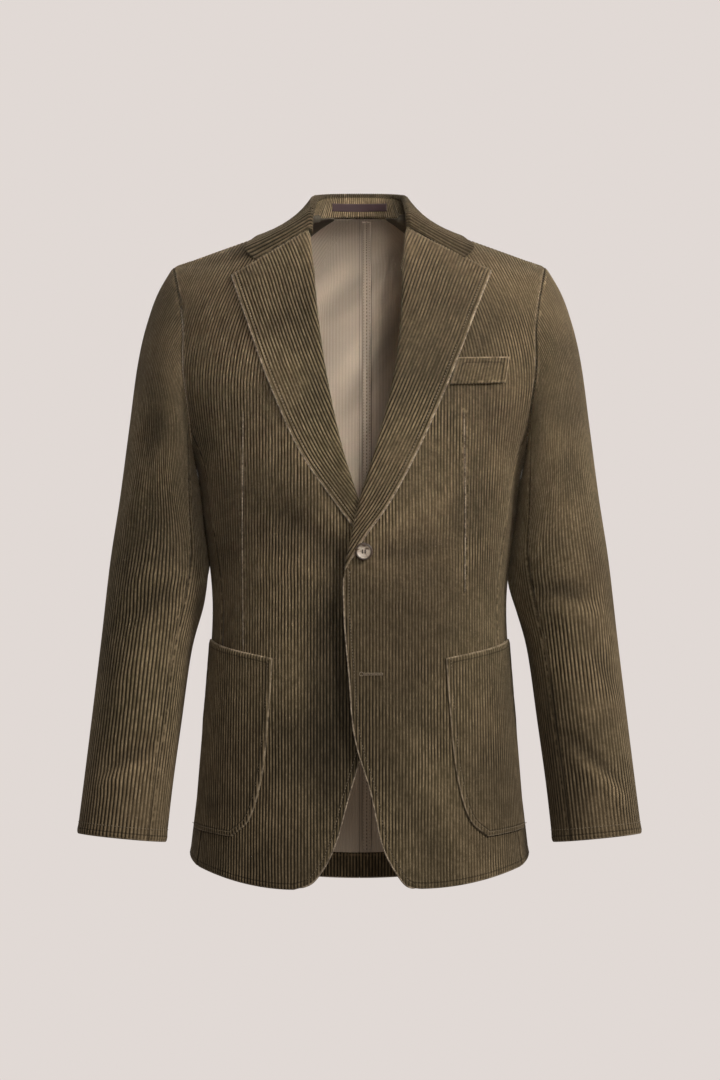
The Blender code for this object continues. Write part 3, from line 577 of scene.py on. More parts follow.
class Signal:
    """A node's output that can be added, taken away and multiplied like a number."""

    def __init__(self, tree, output):
        self.tree = tree
        self.output = output

    def sum_with(self, operation, first, second=None):
        made = node(self.tree, "ShaderNodeMath", operation=operation)
        feed(self.tree, made.inputs[0], first)
        if second is not None:
            feed(self.tree, made.inputs[1], second)
        return Signal(self.tree, made.outputs[0])

    def __add__(self, other):
        return self.sum_with("ADD", self, other)

    def __sub__(self, other):
        return self.sum_with("SUBTRACT", self, other)

    def __rsub__(self, other):
        return self.sum_with("SUBTRACT", other, self)

    def __mul__(self, other):
        return self.sum_with("MULTIPLY", self, other)

    def __abs__(self):
        return self.sum_with("ABSOLUTE", self)

    def apply(self, operation, other=None):
        return self.sum_with(operation, self, other)

    def step(self, low, high, to_low=0.0, to_high=1.0):
        """A smooth step from to_low where this is low to to_high where it is high."""
        made = node(self.tree, "ShaderNodeMapRange", interpolation_type="SMOOTHSTEP")
        for name, value in (("Value", self), ("From Min", low), ("From Max", high),
                            ("To Min", to_low), ("To Max", to_high)):
            feed(self.tree, made.inputs[name], value)
        return Signal(self.tree, made.outputs["Result"])


class Finish:
    """A material being made: its node tree, its shader and the object's own coordinates."""

    def __init__(self, name, **values):
        self.material = bpy.data.materials.new(name)
        self.material.use_nodes = True
        self.tree = self.material.node_tree
        self.shader = self.tree.nodes["Principled BSDF"]
        self.place = node(self.tree, "ShaderNodeTexCoord").outputs["Object"]
        for key, value in values.items():
            self.set(key.replace("_", " "), value)

    def set(self, name, value):
        feed(self.tree, self.shader.inputs[name], value)

    def mark(self, name):
        return Signal(self.tree, node(self.tree, "ShaderNodeAttribute", attribute_name=name).outputs["Fac"])

    def noise(self, scale, detail=2.0, roughness=0.5, at=None):
        made = node(self.tree, "ShaderNodeTexNoise")
        for name, value in (("Vector", self.place if at is None else at), ("Scale", scale),
                            ("Detail", detail), ("Roughness", roughness)):
            feed(self.tree, made.inputs[name], value)
        return Signal(self.tree, made.outputs["Fac"])

    def along_wales(self, across, down, detail, roughness=0.5):
        """Noise laid out on the unrolled cloth, by a measure across its wales and one down them."""
        vector = node(self.tree, "ShaderNodeCombineXYZ")
        feed(self.tree, vector.inputs[0], across)
        feed(self.tree, vector.inputs[1], down)
        return self.noise(1.0, detail, roughness, at=vector.outputs[0])

    def bands(self, scale, direction, distortion=0.0):
        made = node(self.tree, "ShaderNodeTexWave", wave_type="BANDS", bands_direction=direction)
        for name, value in (("Vector", self.place), ("Scale", scale), ("Distortion", distortion)):
            feed(self.tree, made.inputs[name], value)
        return Signal(self.tree, made.outputs["Fac"])

    def mix(self, share, first, second):
        made = node(self.tree, "ShaderNodeMix", data_type="RGBA")
        for place, value in ((0, share), (6, first), (7, second)):
            feed(self.tree, made.inputs[place], value)
        return made.outputs[2]

    def toned(self, colour, value):
        made = node(self.tree, "ShaderNodeHueSaturation")
        feed(self.tree, made.inputs["Value"], value)
        feed(self.tree, made.inputs["Color"], colour)
        return made.outputs["Color"]

    def bump(self, height, strength, distance):
        made = node(self.tree, "ShaderNodeBump")
        for name, value in (("Strength", strength), ("Distance", distance), ("Height", height)):
            feed(self.tree, made.inputs[name], value)
        self.set("Normal", made.outputs["Normal"])


def wale_crest(finish, wale, down):
    """0 in a groove and 1 on a crest, with a slight wander along each wale."""
    wander = (finish.along_wales(wale * 0.45, down * 55.0, 2.0) - 0.5) * 0.20
    return 1.0 - abs((wale + wander).apply("FRACT") * 2.0 - 1.0)


def corduroy_material(name, shade=1.0):
    """Wide-wale corduroy: pale crests, partly worn and partly painted highlight, grooves dark with painted
    shade, streaks and patches of flattened pile.
    """
    # shade scales the whole colour for darker and lighter copies of this material: painted shade and painted
    # light.
    finish = Finish(name, Roughness=0.92, Specular_IOR_Level=0.18, Sheen_Weight=0.22,
                    Sheen_Roughness=0.45, Sheen_Tint=SHEEN_TINT)
    wale, down, edge, seam, fold = (finish.mark(mark) for mark in ("wale", "down", "edge", "seam", "fold"))
    crest = wale_crest(finish, wale, down)
    streaks = finish.along_wales(wale.apply("FLOOR") * 7.31, down * 60.0, 3.0, 0.65)
    tufts = finish.along_wales(wale * 2.6, down * 420.0, 2.0, 0.6)
    ripple = finish.along_wales(wale * 0.30, down * 150.0, 3.0, 0.6)
    patches = finish.noise(11.0, 4.0, 0.62)
    flecks = finish.noise(420.0, 3.0, 0.7)

    # Towards +X the wales are flattened more, painted light as though that side were lit more squarely; the
    # rest of this flattening is the pile's own random patches.
    across = node(finish.tree, "ShaderNodeSeparateXYZ")
    feed(finish.tree, across.inputs[0], finish.place)
    painted_lit_side = Signal(finish.tree, across.outputs[0]).step(-0.04, 0.06, 0.0, 0.12)
    crushed_and_lit_side = (patches + painted_lit_side).step(0.47, 0.64)
    flatter = crushed_and_lit_side * 0.66
    ridge = crest.step(0.16, 0.62) * (1.0 - flatter) + flatter * 0.66
    # Painted highlights: broken pale lines along the crests, and paler ripples where the pile lies flat.
    painted_shine = streaks.step(0.28, 0.72, 0.12, 1.0) * tufts.step(0.25, 0.75, 0.45, 1.0)
    painted_shine = painted_shine * crest.step(0.30, 0.92, 0.20, 1.0)
    painted_shine = painted_shine.apply("MAXIMUM", crushed_and_lit_side * ripple.step(0.44, 0.68) * 0.36)
    pile = finish.mix(finish.noise(4.5).step(0.36, 0.64), PILE_OLIVE, PILE)
    # Grooves take GROOVE, painted shade; crests take the pile with its painted highlights.
    colour = finish.mix(ridge, GROOVE, finish.mix(painted_shine, pile, PILE_BRIGHT))

    sparse = flecks.step(0.60, 0.74, 0.0, 0.40) * patches.step(0.40, 0.62, 0.15, 1.0)
    rubbed_edge = edge.step(0.0020, 0.0004) * finish.noise(90.0, 3.0, 0.7).step(0.34, 0.62, 0.15, 0.85)
    sewn = seam.step(0.0014, 0.0003) * 0.72
    beside_seam = (seam.step(0.0012, 0.0024) * seam.step(0.0050, 0.0028)
                   * finish.noise(150.0, 2.0, 0.6).step(0.42, 0.66, 0.0, 0.45))
    # The channel that the edge stitching draws in is darkened with GROOVE in the loop below: painted shade
    # in that trough.
    channel = edge.step(0.0048, 0.0060) * edge.step(0.0074, 0.0062)
    for share, laid in ((sparse, WORN), (rubbed_edge, WORN), (sewn, GROOVE),
                        (beside_seam, PILE_BRIGHT), (channel * 0.45, GROOVE)):
        colour = finish.mix(share, colour, laid)
    # broad_tone varies at random, scaled by shade for the darker and lighter copies. The fold mark darkens
    # the colour in the creases' troughs and lightens it on their ridges: painted shade and painted light.
    broad_tone = finish.noise(6.5, 3.0, 0.55).step(0.36, 0.64, 0.74 * shade, 1.24 * shade)
    finish.set("Base Color", finish.toned(colour, broad_tone * fold.step(-0.0055, 0.0030, 0.50, 1.16)))

    pucker = edge.step(0.011, 0.002).apply("MAXIMUM", seam.step(0.010, 0.002)) * finish.noise(110.0, 1.0)
    rumple = finish.noise(16.0, 3.0)
    finish.bump(tufts * 0.35 + (crest * 0.55 + (pucker * 2.2 + rumple * 8.0 - channel * 0.9)), 0.85, 0.0006)
    return finish.material


def inside_material():
    """The cloth's plain back: tan, with the wales' backs as faint upright ribs."""
    finish = Finish("corduroy_inside", Roughness=0.95, Specular_IOR_Level=0.15, Sheen_Weight=0.10)
    wale, down = finish.mark("wale"), finish.mark("down")
    rib = (wale.apply("FRACT") * (2.0 * math.pi)).apply("SINE")
    fine = finish.along_wales(wale * 6.0, down * 900.0, 2.0, 0.6)
    colour = finish.mix(rib.step(-0.9, 0.9, 0.0, 0.75), INSIDE_TAN, INSIDE_RIB)
    colour = finish.mix(finish.noise(9.0, 3.0).step(0.40, 0.65, 0.0, 0.30), colour, INSIDE_PATCH)
    colour = finish.mix(fine.step(0.35, 0.65, 0.0, 0.22), colour, INSIDE_SPECK)
    # The fold mark darkens the colour in the creases' troughs, as seen from inside, and slightly lightens
    # their ridges: painted shade and painted light.
    finish.set("Base Color", finish.toned(colour, finish.mark("fold").step(-0.0050, 0.0050, 1.06, 0.68)))
    finish.bump(rib + fine * 1.2, 0.5, 0.0003)
    return finish.material


def thread_material(name, base, dark):
    finish = Finish(name, Roughness=0.7)
    twist = finish.bands(900.0, "DIAGONAL", 1.5)
    finish.set("Base Color", finish.mix(twist, base, dark))
    finish.bump(twist, 0.5, 0.0001)
    return finish.material


def edge_material():
    """Turned edges where the pile is rubbed short and pale."""
    finish = Finish("worn_edge", Roughness=0.92, Sheen_Weight=0.25)
    rubbed, nap = finish.noise(170.0, 3.0, 0.7), finish.noise(900.0, 2.0, 0.6)
    colour = finish.mix(rubbed.step(0.34, 0.66), EDGE_DARK, EDGE_PALE)
    finish.set("Base Color", finish.mix(nap.step(0.35, 0.70, 0.0, 0.35), colour, EDGE_NAP))
    finish.bump(nap + rubbed, 0.8, 0.0004)
    return finish.material


def facing_material():
    """The smooth dark back of the fronts' facings."""
    finish = Finish("facing", Roughness=0.9)
    weave = finish.noise(900.0, 2.0, 0.6)
    finish.set("Base Color", finish.mix(weave, FACING_DARK, FACING_PALE))
    finish.bump(weave, 0.4, 0.0003)
    return finish.material


def horn_material():
    """Mottled horn, polished, darker on the rim."""
    finish = Finish("horn", Coat_Weight=0.35, Coat_Roughness=0.15)
    stretched = node(finish.tree, "ShaderNodeMapping")
    for name, value in (("Vector", finish.place), ("Scale", (1.0, 1.0, 2.6)), ("Rotation", (0.0, 0.6, 0.0))):
        feed(finish.tree, stretched.inputs[name], value)
    grain = stretched.outputs["Vector"]
    cloud, fleck = finish.noise(160.0, 4.0, 0.6, at=grain), finish.noise(620.0, 2.0, 0.5, at=grain)
    colour = finish.mix(cloud.step(0.36, 0.62), HORN_DARK, HORN_PALE)
    colour = finish.mix(fleck.step(0.56, 0.74, 0.0, 0.6), colour, HORN_FLECK)
    finish.set("Base Color", finish.mix(finish.mark("rim").step(0.70, 0.80), colour, HORN_RIM))
    finish.set("Roughness", cloud.step(0.3, 0.7, 0.22, 0.40))
    return finish.material


def label_material():
    """Blank woven satin: dark maroon with a fine weave."""
    finish = Finish("label", Roughness=0.70)
    weave = finish.bands(700.0, "Z")
    finish.set("Base Color", finish.mix(weave, LABEL_DARK, LABEL_PALE))
    finish.bump(weave, 0.6, 0.0001)
    return finish.material


MATERIALS = {
    "corduroy": corduroy_material("corduroy"),
    # Darker and lighter copies of the corduroy: painted shade on the collar's fall and painted light on the
    # collar stand.
    "corduroy_dark": corduroy_material("corduroy_dark", 0.57),
    "corduroy_light": corduroy_material("corduroy_light", 1.6),
    "corduroy_inside": inside_material(),
    "horn": horn_material(),
    "label": label_material(),
    "thread": thread_material("thread", (0.30, 0.235, 0.155), (0.13, 0.10, 0.065)),
    "dark_thread": thread_material("dark_thread", (0.075, 0.055, 0.035), (0.035, 0.026, 0.017)),
    "worn_edge": edge_material(),
    "facing": facing_material(),
}


# ---------------------------------------------------------------- body panels
def axis_of(points):
    """Points on the body's upright middle line, level with a grid's points."""
    middle = np.zeros_like(points)
    middle[..., 0] = points[..., 0] * 0.5
    middle[..., 2] = np.minimum(points[..., 2], -0.10)
    return middle


def side_border(facing):
    """x at each height of a front's or back's outer side: the side seam, then the armhole."""
    seam = math.radians(FRONT_SEAM_ANGLE if facing < 0 else BACK_SEAM_ANGLE)
    _, seam_y, seam_z = armhole(seam)

    def at(z):
        below = side_x(seam_y * np.ones_like(z), z)
        above = armhole(facing * armhole_angle(z))[0]
        return np.where(z < seam_z, below, np.where(z > ARMHOLE_TOP_Z, SHOULDER_REACH, above))
    return at


def hem_curve(corner, facing, count=70):
    """x and z of a panel's hem, from its corner to a little past the side seam."""
    across = np.linspace(0.0, 1.05, count)
    end_x = side_border(facing)(np.array([HEM_SIDE_Z]))[0]
    x = corner[0] + (end_x - corner[0]) * across
    return x, corner[1] + (HEM_SIDE_Z - corner[1]) * across ** 2


def body_panel(name, facing, side, low, high, start, creases=(), seams=(), edges=(), **more):
    """A front or back: low and high are its ends along the wales, as (arc, down) curves."""
    border = side_border(facing)
    last = max(SECTIONS[facing][2][SECTION_Z < LEAN_FROM]) * 0.99 + 0.022
    arc = wale_columns(start, last)
    top = np.interp(arc, high[0], high[1])
    bottom = np.interp(arc, low[0], low[1])
    shares = row_shares(float(np.max(bottom - top)))
    down = top + (bottom - top) * shares[:, None]
    points = body_point(arc, down, facing, side)
    arc = np.broadcast_to(arc, down.shape)
    normals = grid_normals(points, axis_of(points))
    inside = border(points[..., 2]) - SEAM_GAP / 2 - side * points[..., 0]
    z = np.linspace(HEM_SIDE_Z, ARMHOLE_TOP_Z, 90)
    side_line = border_line(border, z, facing, side)
    shoulder_arc = np.linspace(high[0][-2], 0.25, 30)
    shoulder = body_point(shoulder_arc, np.zeros(30), facing, side)
    moved, fold = creased(points, normals, seen_flat(points, side if facing < 0 else 1), creases)
    return shell(name, moved, normals, arc / WALE, down, inside, fold=fold,
                 seams=[side_line, shoulder] + list(seams), edges=list(edges), **more)


def border_line(border, z, facing, side):
    x = border(z)
    seam = math.radians(FRONT_SEAM_ANGLE if facing < 0 else BACK_SEAM_ANGLE)
    _, seam_y, seam_z = armhole(seam)
    y = np.where(z < seam_z, seam_y, armhole(facing * armhole_angle(z))[1])
    return np.stack([side * x, y, z], axis=1)


def creased(points, normals, flat, creases):
    """Points moved out or in along soft ridges and troughs.

    Each crease is a line from one flat place to another, with its width and its height.
    """
    lift = np.zeros(points.shape[:-1])
    for start, end, width, rise in creases:
        line = np.array([start, end], float)
        step = line[1] - line[0]
        share = np.clip((flat - line[0]) @ step / (step @ step), 0.0, 1.0)
        near = line[0] + share[..., None] * step
        distance = np.linalg.norm(flat - near, axis=-1)
        swell = np.sin(math.pi * (0.12 + 0.76 * share))
        lift += rise * swell * np.exp(-(distance / width) ** 2)
    # The lift is also given back: the materials darken the colour by it in troughs and lighten it on ridges,
    # painted shade and painted light.
    return points + normals * lift[..., None], lift


def seen_flat(points, side):
    """The places of points across and up, as creases on the body are placed."""
    return np.stack([side * points[..., 0], points[..., 2]], axis=-1)


def front_line(x, z, side):
    """Points on a front, x out to its side of the middle and at z."""
    return np.stack([side * x, front_y(side * x, z, side), z], axis=1)


BORDER_STEPS = 260


def make_front(name, edge_table, side, creases, darts):
    """A front: its table's border, from the hem's corner round to the neck, bounds it inwards."""
    edge = through(edge_table, np.linspace(0.0, 1.0, BORDER_STEPS + 1))
    arc, down = unrolled(edge[:, 0], edge[:, 1], -1)
    tip = int(np.argmin(arc))
    hem_x, hem_z = hem_curve(edge[0], -1)
    hem_arc, hem_down = unrolled(hem_x, hem_z, -1)
    low = (np.concatenate([arc[tip::-1], hem_arc[1:]]), np.concatenate([down[tip::-1], hem_down[1:]]))
    high = (np.concatenate([arc[tip:], [0.4]]), np.concatenate([down[tip:], [0.0]]))
    high[1][high[0] >= arc[-1] - 1e-6] = 0.0
    low = (np.maximum.accumulate(low[0]), low[1])
    high = (np.maximum.accumulate(high[0]), high[1])
    outline = body_point(arc, down, -1, side)
    roll = int(ROLL_SHARE * BORDER_STEPS)
    gorge = int(NECK_SHARE * BORDER_STEPS)
    hem = body_point(hem_arc, hem_down, -1, side)
    dart_lines = [front_line(*np.transpose(dart), side) for dart in darts]
    return body_panel(name, -1, side, low, high, arc[tip] + 0.0002,
                      creases=creases,
                      seams=[outline[gorge:]] + dart_lines, edges=[outline[:roll], hem])


def back_neck_z(x):
    """Height of the back's neck seam: a quarter of an ellipse on each side."""
    share = np.clip((x - SEAM_GAP / 2) / (NECK_SIDE_X - SEAM_GAP / 2), 0.0, 1.0)
    return BACK_NECK_Z + (shoulder_z(NECK_SIDE_X) - BACK_NECK_Z) * (1.0 - np.sqrt(1.0 - share ** 2))


def back_tops():
    """Where each of a back's wales ends at the neck seam, as (arc, down)."""
    arcs = np.linspace(SEAM_GAP / 2, 0.17, 200)
    downs = np.linspace(0.0, 0.12, 500)
    x, _, z = np.moveaxis(body_point(*np.meshgrid(arcs, downs, indexing="ij"), 1, 1), -1, 0)
    over = (z > back_neck_z(x)) & (x < NECK_SIDE_X)
    return arcs, downs[np.argmin(over, axis=1)]


def make_back(name, side, creases):
    """Half of the back, from the centre-back seam to the side-back seam and the armhole."""
    hem_x, hem_z = hem_curve((SEAM_GAP / 2, HEM_BACK_Z), 1)
    low = unrolled(hem_x, hem_z, 1)
    low = (np.maximum.accumulate(low[0]), low[1])
    neck_arc, neck_down = back_tops()
    high = (np.append(neck_arc, 0.4), np.append(neck_down, 0.0))
    hem = body_point(low[0], low[1], 1, side)
    middle = body_point(np.full(80, SEAM_GAP / 2), np.linspace(0.02, 0.80, 80), 1, side)
    at_neck = neck_down > 0.0
    neck = body_point(neck_arc[at_neck], neck_down[at_neck], 1, side)

    def keep(inner):
        inner[..., 1] = np.maximum(inner[..., 1], SEAM_GAP)
        inner[..., 0] = side * np.maximum(side * inner[..., 0], SEAM_GAP / 2)
        return inner
    return body_panel(name, 1, side, low, high, SEAM_GAP / 2, creases=creases,
                      seams=[middle, neck], edges=[hem], keep=keep)


def side_panel_point(arc, z, side):
    """A point of a side panel; arc runs from the side line, backward positive."""
    points = []
    for facing in (-1, 1):
        xs, depths, lengths = SECTIONS[facing]
        length = np.interp(z, SECTION_Z, lengths)
        points.append((look_up(xs, length - np.abs(arc), z),
                       facing * look_up(depths, length - np.abs(arc), z)))
    (front_x, front_depth), (back_x, back_depth) = points
    x = np.where(arc < 0, front_x, back_x)
    y = np.where(arc < 0, front_depth, back_depth)
    return np.stack([side * x, y, z * np.ones_like(x)], axis=-1)


def make_side(name, side):
    """The narrow panel under an arm, between the front's and the back's side seams."""
    front_y_seam = float(armhole(math.radians(FRONT_SEAM_ANGLE))[1]) + SEAM_GAP
    back_y_seam = float(armhole(math.radians(BACK_SEAM_ANGLE))[1]) - SEAM_GAP
    middle = 0.5 * (ARMHOLE_TOP_Z + ARMHOLE_BOTTOM_Z)
    half = 0.5 * (ARMHOLE_TOP_Z - ARMHOLE_BOTTOM_Z)
    y = np.linspace(front_y_seam - 0.004, back_y_seam + 0.004, 60)
    reach = np.where(y < 0, ARMHOLE_FRONT, ARMHOLE_BACK)
    top_z = middle - half * np.sqrt(1.0 - (y / reach) ** 2) - SEAM_GAP
    part = (y - front_y_seam) / (back_y_seam - front_y_seam) * 2.0 - 1.0
    hem_z = HEM_SIDE_Z + HEM_SIDE_RISE * (1.0 - part ** 2)
    dense = np.linspace(-0.13, 0.13, 521)

    def arc_at(y_values, z_values):
        found = []
        for one_y, one_z in zip(y_values, z_values):
            line = side_panel_point(dense, np.full(dense.shape, one_z), 1)[:, 1]
            found.append(np.interp(one_y, line, dense))
        return np.array(found)
    top_arc, hem_arc = arc_at(y, top_z), arc_at(y, hem_z)
    arc = wale_columns(min(top_arc[0], hem_arc[0]) - 0.012, max(top_arc[-1], hem_arc[-1]) + 0.012)
    top = np.interp(arc, top_arc, top_z)
    bottom = np.interp(arc, hem_arc, hem_z)
    shares = row_shares(float(np.max(top - bottom)))
    z = top + (bottom - top) * shares[:, None]
    points = side_panel_point(np.broadcast_to(arc, z.shape), z, side)
    normals = grid_normals(points, axis_of(points))
    inside = np.minimum(points[..., 1] - front_y_seam, back_y_seam - points[..., 1])
    seams = []
    seam_z = np.linspace(-0.715, -0.20, 60)
    for seam_y in (front_y_seam, back_y_seam):
        level_y = np.full(60, seam_y)
        seams.append(np.stack([side * side_x(level_y, seam_z), level_y, seam_z], axis=1))
    seams.append(side_panel_point(top_arc, top_z, side))
    hem = side_panel_point(hem_arc, hem_z, side)
    return shell(name, points, normals, np.broadcast_to(arc / WALE, z.shape), -z, inside,
                 seams=seams, edges=[hem])


# ---------------------------------------------------------------- sleeves
SLEEVE_LENGTH = 0.640
SLEEVE_RADIUS = 0.060
UNDER_SLEEVE_GRAIN = 238.0  # the line down the under piece that its wales run level with


def sleeve_point(angle, along):
    """Outer face of the wearer's left sleeve; angle runs round it from its outer line."""
    row = through(SLEEVE_RINGS, along)
    first = np.asarray(SLEEVE_RINGS[0][1:])
    hole = np.stack(armhole(angle), axis=-1)

    def ring_point(ring):
        outer_share = 0.5 + 0.5 * np.cos(angle)
        x = ring[..., 2] + (ring[..., 0] - ring[..., 2]) * outer_share
        z = ring[..., 3] + (ring[..., 1] - ring[..., 3]) * outer_share
        return np.stack([x, ring[..., 5] + ring[..., 4] * np.sin(angle), z], axis=-1)
    seam_share = np.clip(1.0 - along / 0.2, 0, 1)[..., None] ** 2
    point = ring_point(row) + (hole - ring_point(first)) * seam_share
    point[..., 0] += 2 * SEAM_GAP
    return point


SLEEVE_ROWS = np.linspace(0.0, 1.0, 121)
SLEEVE_ANGLES = np.radians(np.linspace(-150.0, 250.0, 801))
SLEEVE_ARC = np.linspace(-0.35, 0.55, 901)


def unroll_sleeve():
    """The angle at each arc from the grain line, row by row."""
    grid = sleeve_point(*np.meshgrid(SLEEVE_ANGLES, SLEEVE_ROWS))
    steps = np.linalg.norm(np.diff(grid, axis=1), axis=2)
    arc = np.concatenate([np.zeros((len(grid), 1)), np.cumsum(steps, axis=1)], axis=1)
    grain = int(np.argmin(np.abs(SLEEVE_ANGLES - math.radians(SLEEVE_GRAIN))))
    arc -= arc[:, grain:grain + 1]
    return np.array([np.interp(SLEEVE_ARC, row, SLEEVE_ANGLES) for row in arc]), arc


SLEEVE_TURN, SLEEVE_LENGTHS = unroll_sleeve()


def sleeve_angle(arc, along):
    row = np.clip(along / SLEEVE_ROWS[1], 0, len(SLEEVE_ROWS) - 1.001)
    column = np.clip((arc - SLEEVE_ARC[0]) / (SLEEVE_ARC[1] - SLEEVE_ARC[0]), 0, len(SLEEVE_ARC) - 1.001)
    i, j = row.astype(int), column.astype(int)
    u, v = row - i, column - j
    return ((1 - u) * ((1 - v) * SLEEVE_TURN[i, j] + v * SLEEVE_TURN[i, j + 1])
            + u * ((1 - v) * SLEEVE_TURN[i + 1, j] + v * SLEEVE_TURN[i + 1, j + 1]))


def sleeve_frame(angle, along):
    """Points on the sleeve and the way that its cloth faces there."""
    step = 0.002
    points = sleeve_point(angle, along)
    round_it = sleeve_point(angle + step, along) - sleeve_point(angle - step, along)
    near, far = np.clip(along - step, 0, 1), np.clip(along + step, 0, 1)
    normals = np.cross(sleeve_point(angle, far) - sleeve_point(angle, near), round_it)
    return points, normals / np.linalg.norm(normals, axis=2, keepdims=True)


def make_sleeve_piece(name, first_angle, last_angle, grain_angle, side, creases):
    """One of a sleeve's two pieces, its wales running level with one line down it."""
    first, last, grain = (math.radians(degrees) for degrees in (first_angle, last_angle, grain_angle))
    starts, ends, grains = (np.array([np.interp(turn, SLEEVE_ANGLES, row) for row in SLEEVE_LENGTHS])
                            for turn in (first, last, grain))
    arc = wale_columns((starts - grains).min() - 0.001, (ends - grains).max() + 0.001, SLEEVE_WALE)
    grid_arc, grid_along = np.meshgrid(arc, row_shares(SLEEVE_LENGTH))
    angle = sleeve_angle(grid_arc + np.interp(grid_along, SLEEVE_ROWS, grains), grid_along)
    angle = np.clip(angle, first - 0.08, last + 0.08)
    points, normals = sleeve_frame(angle, grid_along)
    inside = np.minimum(angle - first, last - angle) * SLEEVE_RADIUS
    mirror = np.array([side, 1.0, 1.0])
    turns, shares = np.linspace(first, last, 60), np.linspace(0, 1, 60)
    seams = [sleeve_point(np.full(60, edge_angle), shares) * mirror for edge_angle in (first, last)]
    seams.append(sleeve_point(turns, np.zeros(60)) * mirror)
    cuff = sleeve_point(turns, np.ones(60)) * mirror
    seam_x = points[0, :, 0]

    def keep(inner):
        inner[0, :, 0] = side * np.maximum(side * inner[0, :, 0], seam_x)
        return inner
    points, normals = points * mirror, normals * mirror
    flat = np.stack([angle * SLEEVE_RADIUS, grid_along * SLEEVE_LENGTH], axis=-1)
    placed = [(sleeve_place(*a), sleeve_place(*b), w, h) for a, b, w, h in creases]
    points, fold = creased(points, normals, flat, placed)
    return shell(name, points, normals, grid_arc / SLEEVE_WALE, grid_along * SLEEVE_LENGTH, inside,
                 seams=seams, edges=[cuff], keep=keep, fold=fold)


def sleeve_axis(along):
    row = through(SLEEVE_RINGS, along)
    return np.stack([(row[..., 0] + row[..., 2]) / 2, row[..., 5], (row[..., 1] + row[..., 3]) / 2], axis=-1)


def sleeve_place(angle, along):
    return math.radians(angle) * SLEEVE_RADIUS, along * SLEEVE_LENGTH


def make_sleeve(side, word, creases):
    gap = 0.35              # degrees between the two pieces at each seam
    make_sleeve_piece("upper_sleeve_" + word + "_cloth", SLEEVE_FRONT_SEAM + gap,
                      SLEEVE_BACK_SEAM - gap, SLEEVE_GRAIN, side, creases)
    make_sleeve_piece("under_sleeve_" + word + "_cloth", SLEEVE_BACK_SEAM + gap,
                      360.0 + SLEEVE_FRONT_SEAM - gap, UNDER_SLEEVE_GRAIN, side, creases)


# ---------------------------------------------------------------- lapels
LAPEL_LENGTH = 0.40         # of the roll line
LAPEL_PUFF = 0.0040         # how much further a lapel stands off along its roll line
LAPEL_LIFT = 0.0012         # and across its top
LAPEL_ROLL_RADIUS = 0.0046
LAPEL_TUCK = 0.012          # what is seen of it inside, past the roll
LAPEL_SCALLOP = 0.0006      # waves that the stitching draws up along its outer edge
SCALLOP_PITCH = 0.021


def front_normal(x, z, side):
    step = 0.002
    slope_x = (front_y(x + step, z, side) - front_y(x - step, z, side)) / (2 * step)
    slope_z = (front_y(x, z + step, side) - front_y(x, z - step, side)) / (2 * step)
    normal = np.stack([slope_x, -np.ones_like(slope_x), slope_z], axis=-1)
    return normal / np.linalg.norm(normal, axis=-1, keepdims=True)


def lapel_rows(table, at):
    """Roll-line and outer-edge points, and the width, of a lapel."""
    row = through(table, at)
    return row, np.hypot(row[..., 2] - row[..., 0], row[..., 3] - row[..., 1])


def lapel_flat(table, arc, at, side):
    """A point of the lapel's flat part at a distance from its outer edge."""
    row, width = lapel_rows(table, at)
    across = 1.0 - arc / width
    x = row[..., 0] + (row[..., 2] - row[..., 0]) * across
    z = row[..., 1] + (row[..., 3] - row[..., 1]) * across
    puff = LAPEL_PUFF * np.clip(1 - across, 0, 1) ** 2 * ease(z, -0.330, -0.220)
    lift = LAPEL_LIFT * ease(z, -0.140, -0.060)
    wave = LAPEL_SCALLOP * np.exp(-(arc / 0.008) ** 2) * np.cos(2 * math.pi * z / SCALLOP_PITCH
                                                               + 1.7 * np.sin(z * 31.0))
    y = front_y(side * x, z, side) - (LAID_GAP + CLOTH) - puff - lift - wave
    return np.stack([side * x, y, z], axis=-1)


def make_lapel(name, table, side, creases):
    """A lapel lying on its front and turned under in a soft roll at the roll line."""
    at = 0.995 * row_shares(LAPEL_LENGTH, 0.0066)
    width = lapel_rows(table, at)[1]
    radius = np.minimum(LAPEL_ROLL_RADIUS, 0.36 * width)
    tuck = LAPEL_TUCK * radius / LAPEL_ROLL_RADIUS
    limit = width - radius + math.pi * radius + tuck
    arc = wale_columns(0.0, float(limit.max()) + 0.001)
    grid_arc, grid_at = np.meshgrid(arc, at)
    start = (width - radius)[:, None]
    radius = radius[:, None]
    flat_arc = np.minimum(grid_arc, start)
    points = lapel_flat(table, flat_arc, grid_at, side)
    normals = front_normal(points[..., 0], points[..., 2], side)
    before = lapel_flat(table, flat_arc - 0.001, grid_at, side)
    across = lapel_flat(table, flat_arc + 0.001, grid_at, side) - before
    across /= np.linalg.norm(across, axis=-1, keepdims=True)
    past = np.maximum(grid_arc - start, 0.0)
    turn = np.minimum(past / radius, math.pi)
    tail = np.maximum(past - math.pi * radius, 0.0)
    points = (points + across * (radius * np.sin(turn) - tail)[..., None]
              - normals * (radius * (1.0 - np.cos(turn)))[..., None])
    turned = normals * np.cos(turn)[..., None] + across * np.sin(turn)[..., None]
    inside = limit[:, None] - grid_arc
    edge, gorge = points[:, 0], points[-1]
    points, fold = creased(points, turned, seen_flat(points, side), creases)
    along = np.broadcast_to((at * LAPEL_LENGTH)[:, None], grid_arc.shape)
    return shell(name, points, turned, grid_arc / WALE, along, inside,
                 edges=[edge], seams=[gorge], thickness=0.0014, plain_inside=False, fold=fold)


# ---------------------------------------------------------------- collar
def round_the_neck():
    """The collar's table, carried on past the centre back so that it runs smoothly there."""
    past = [(2.0 - row[0],) + tuple(-value if place % 3 == 0 else value
                                    for place, value in enumerate(row[1:]))
            for row in COLLAR[-2:-4:-1]]
    return COLLAR + tuple(past)


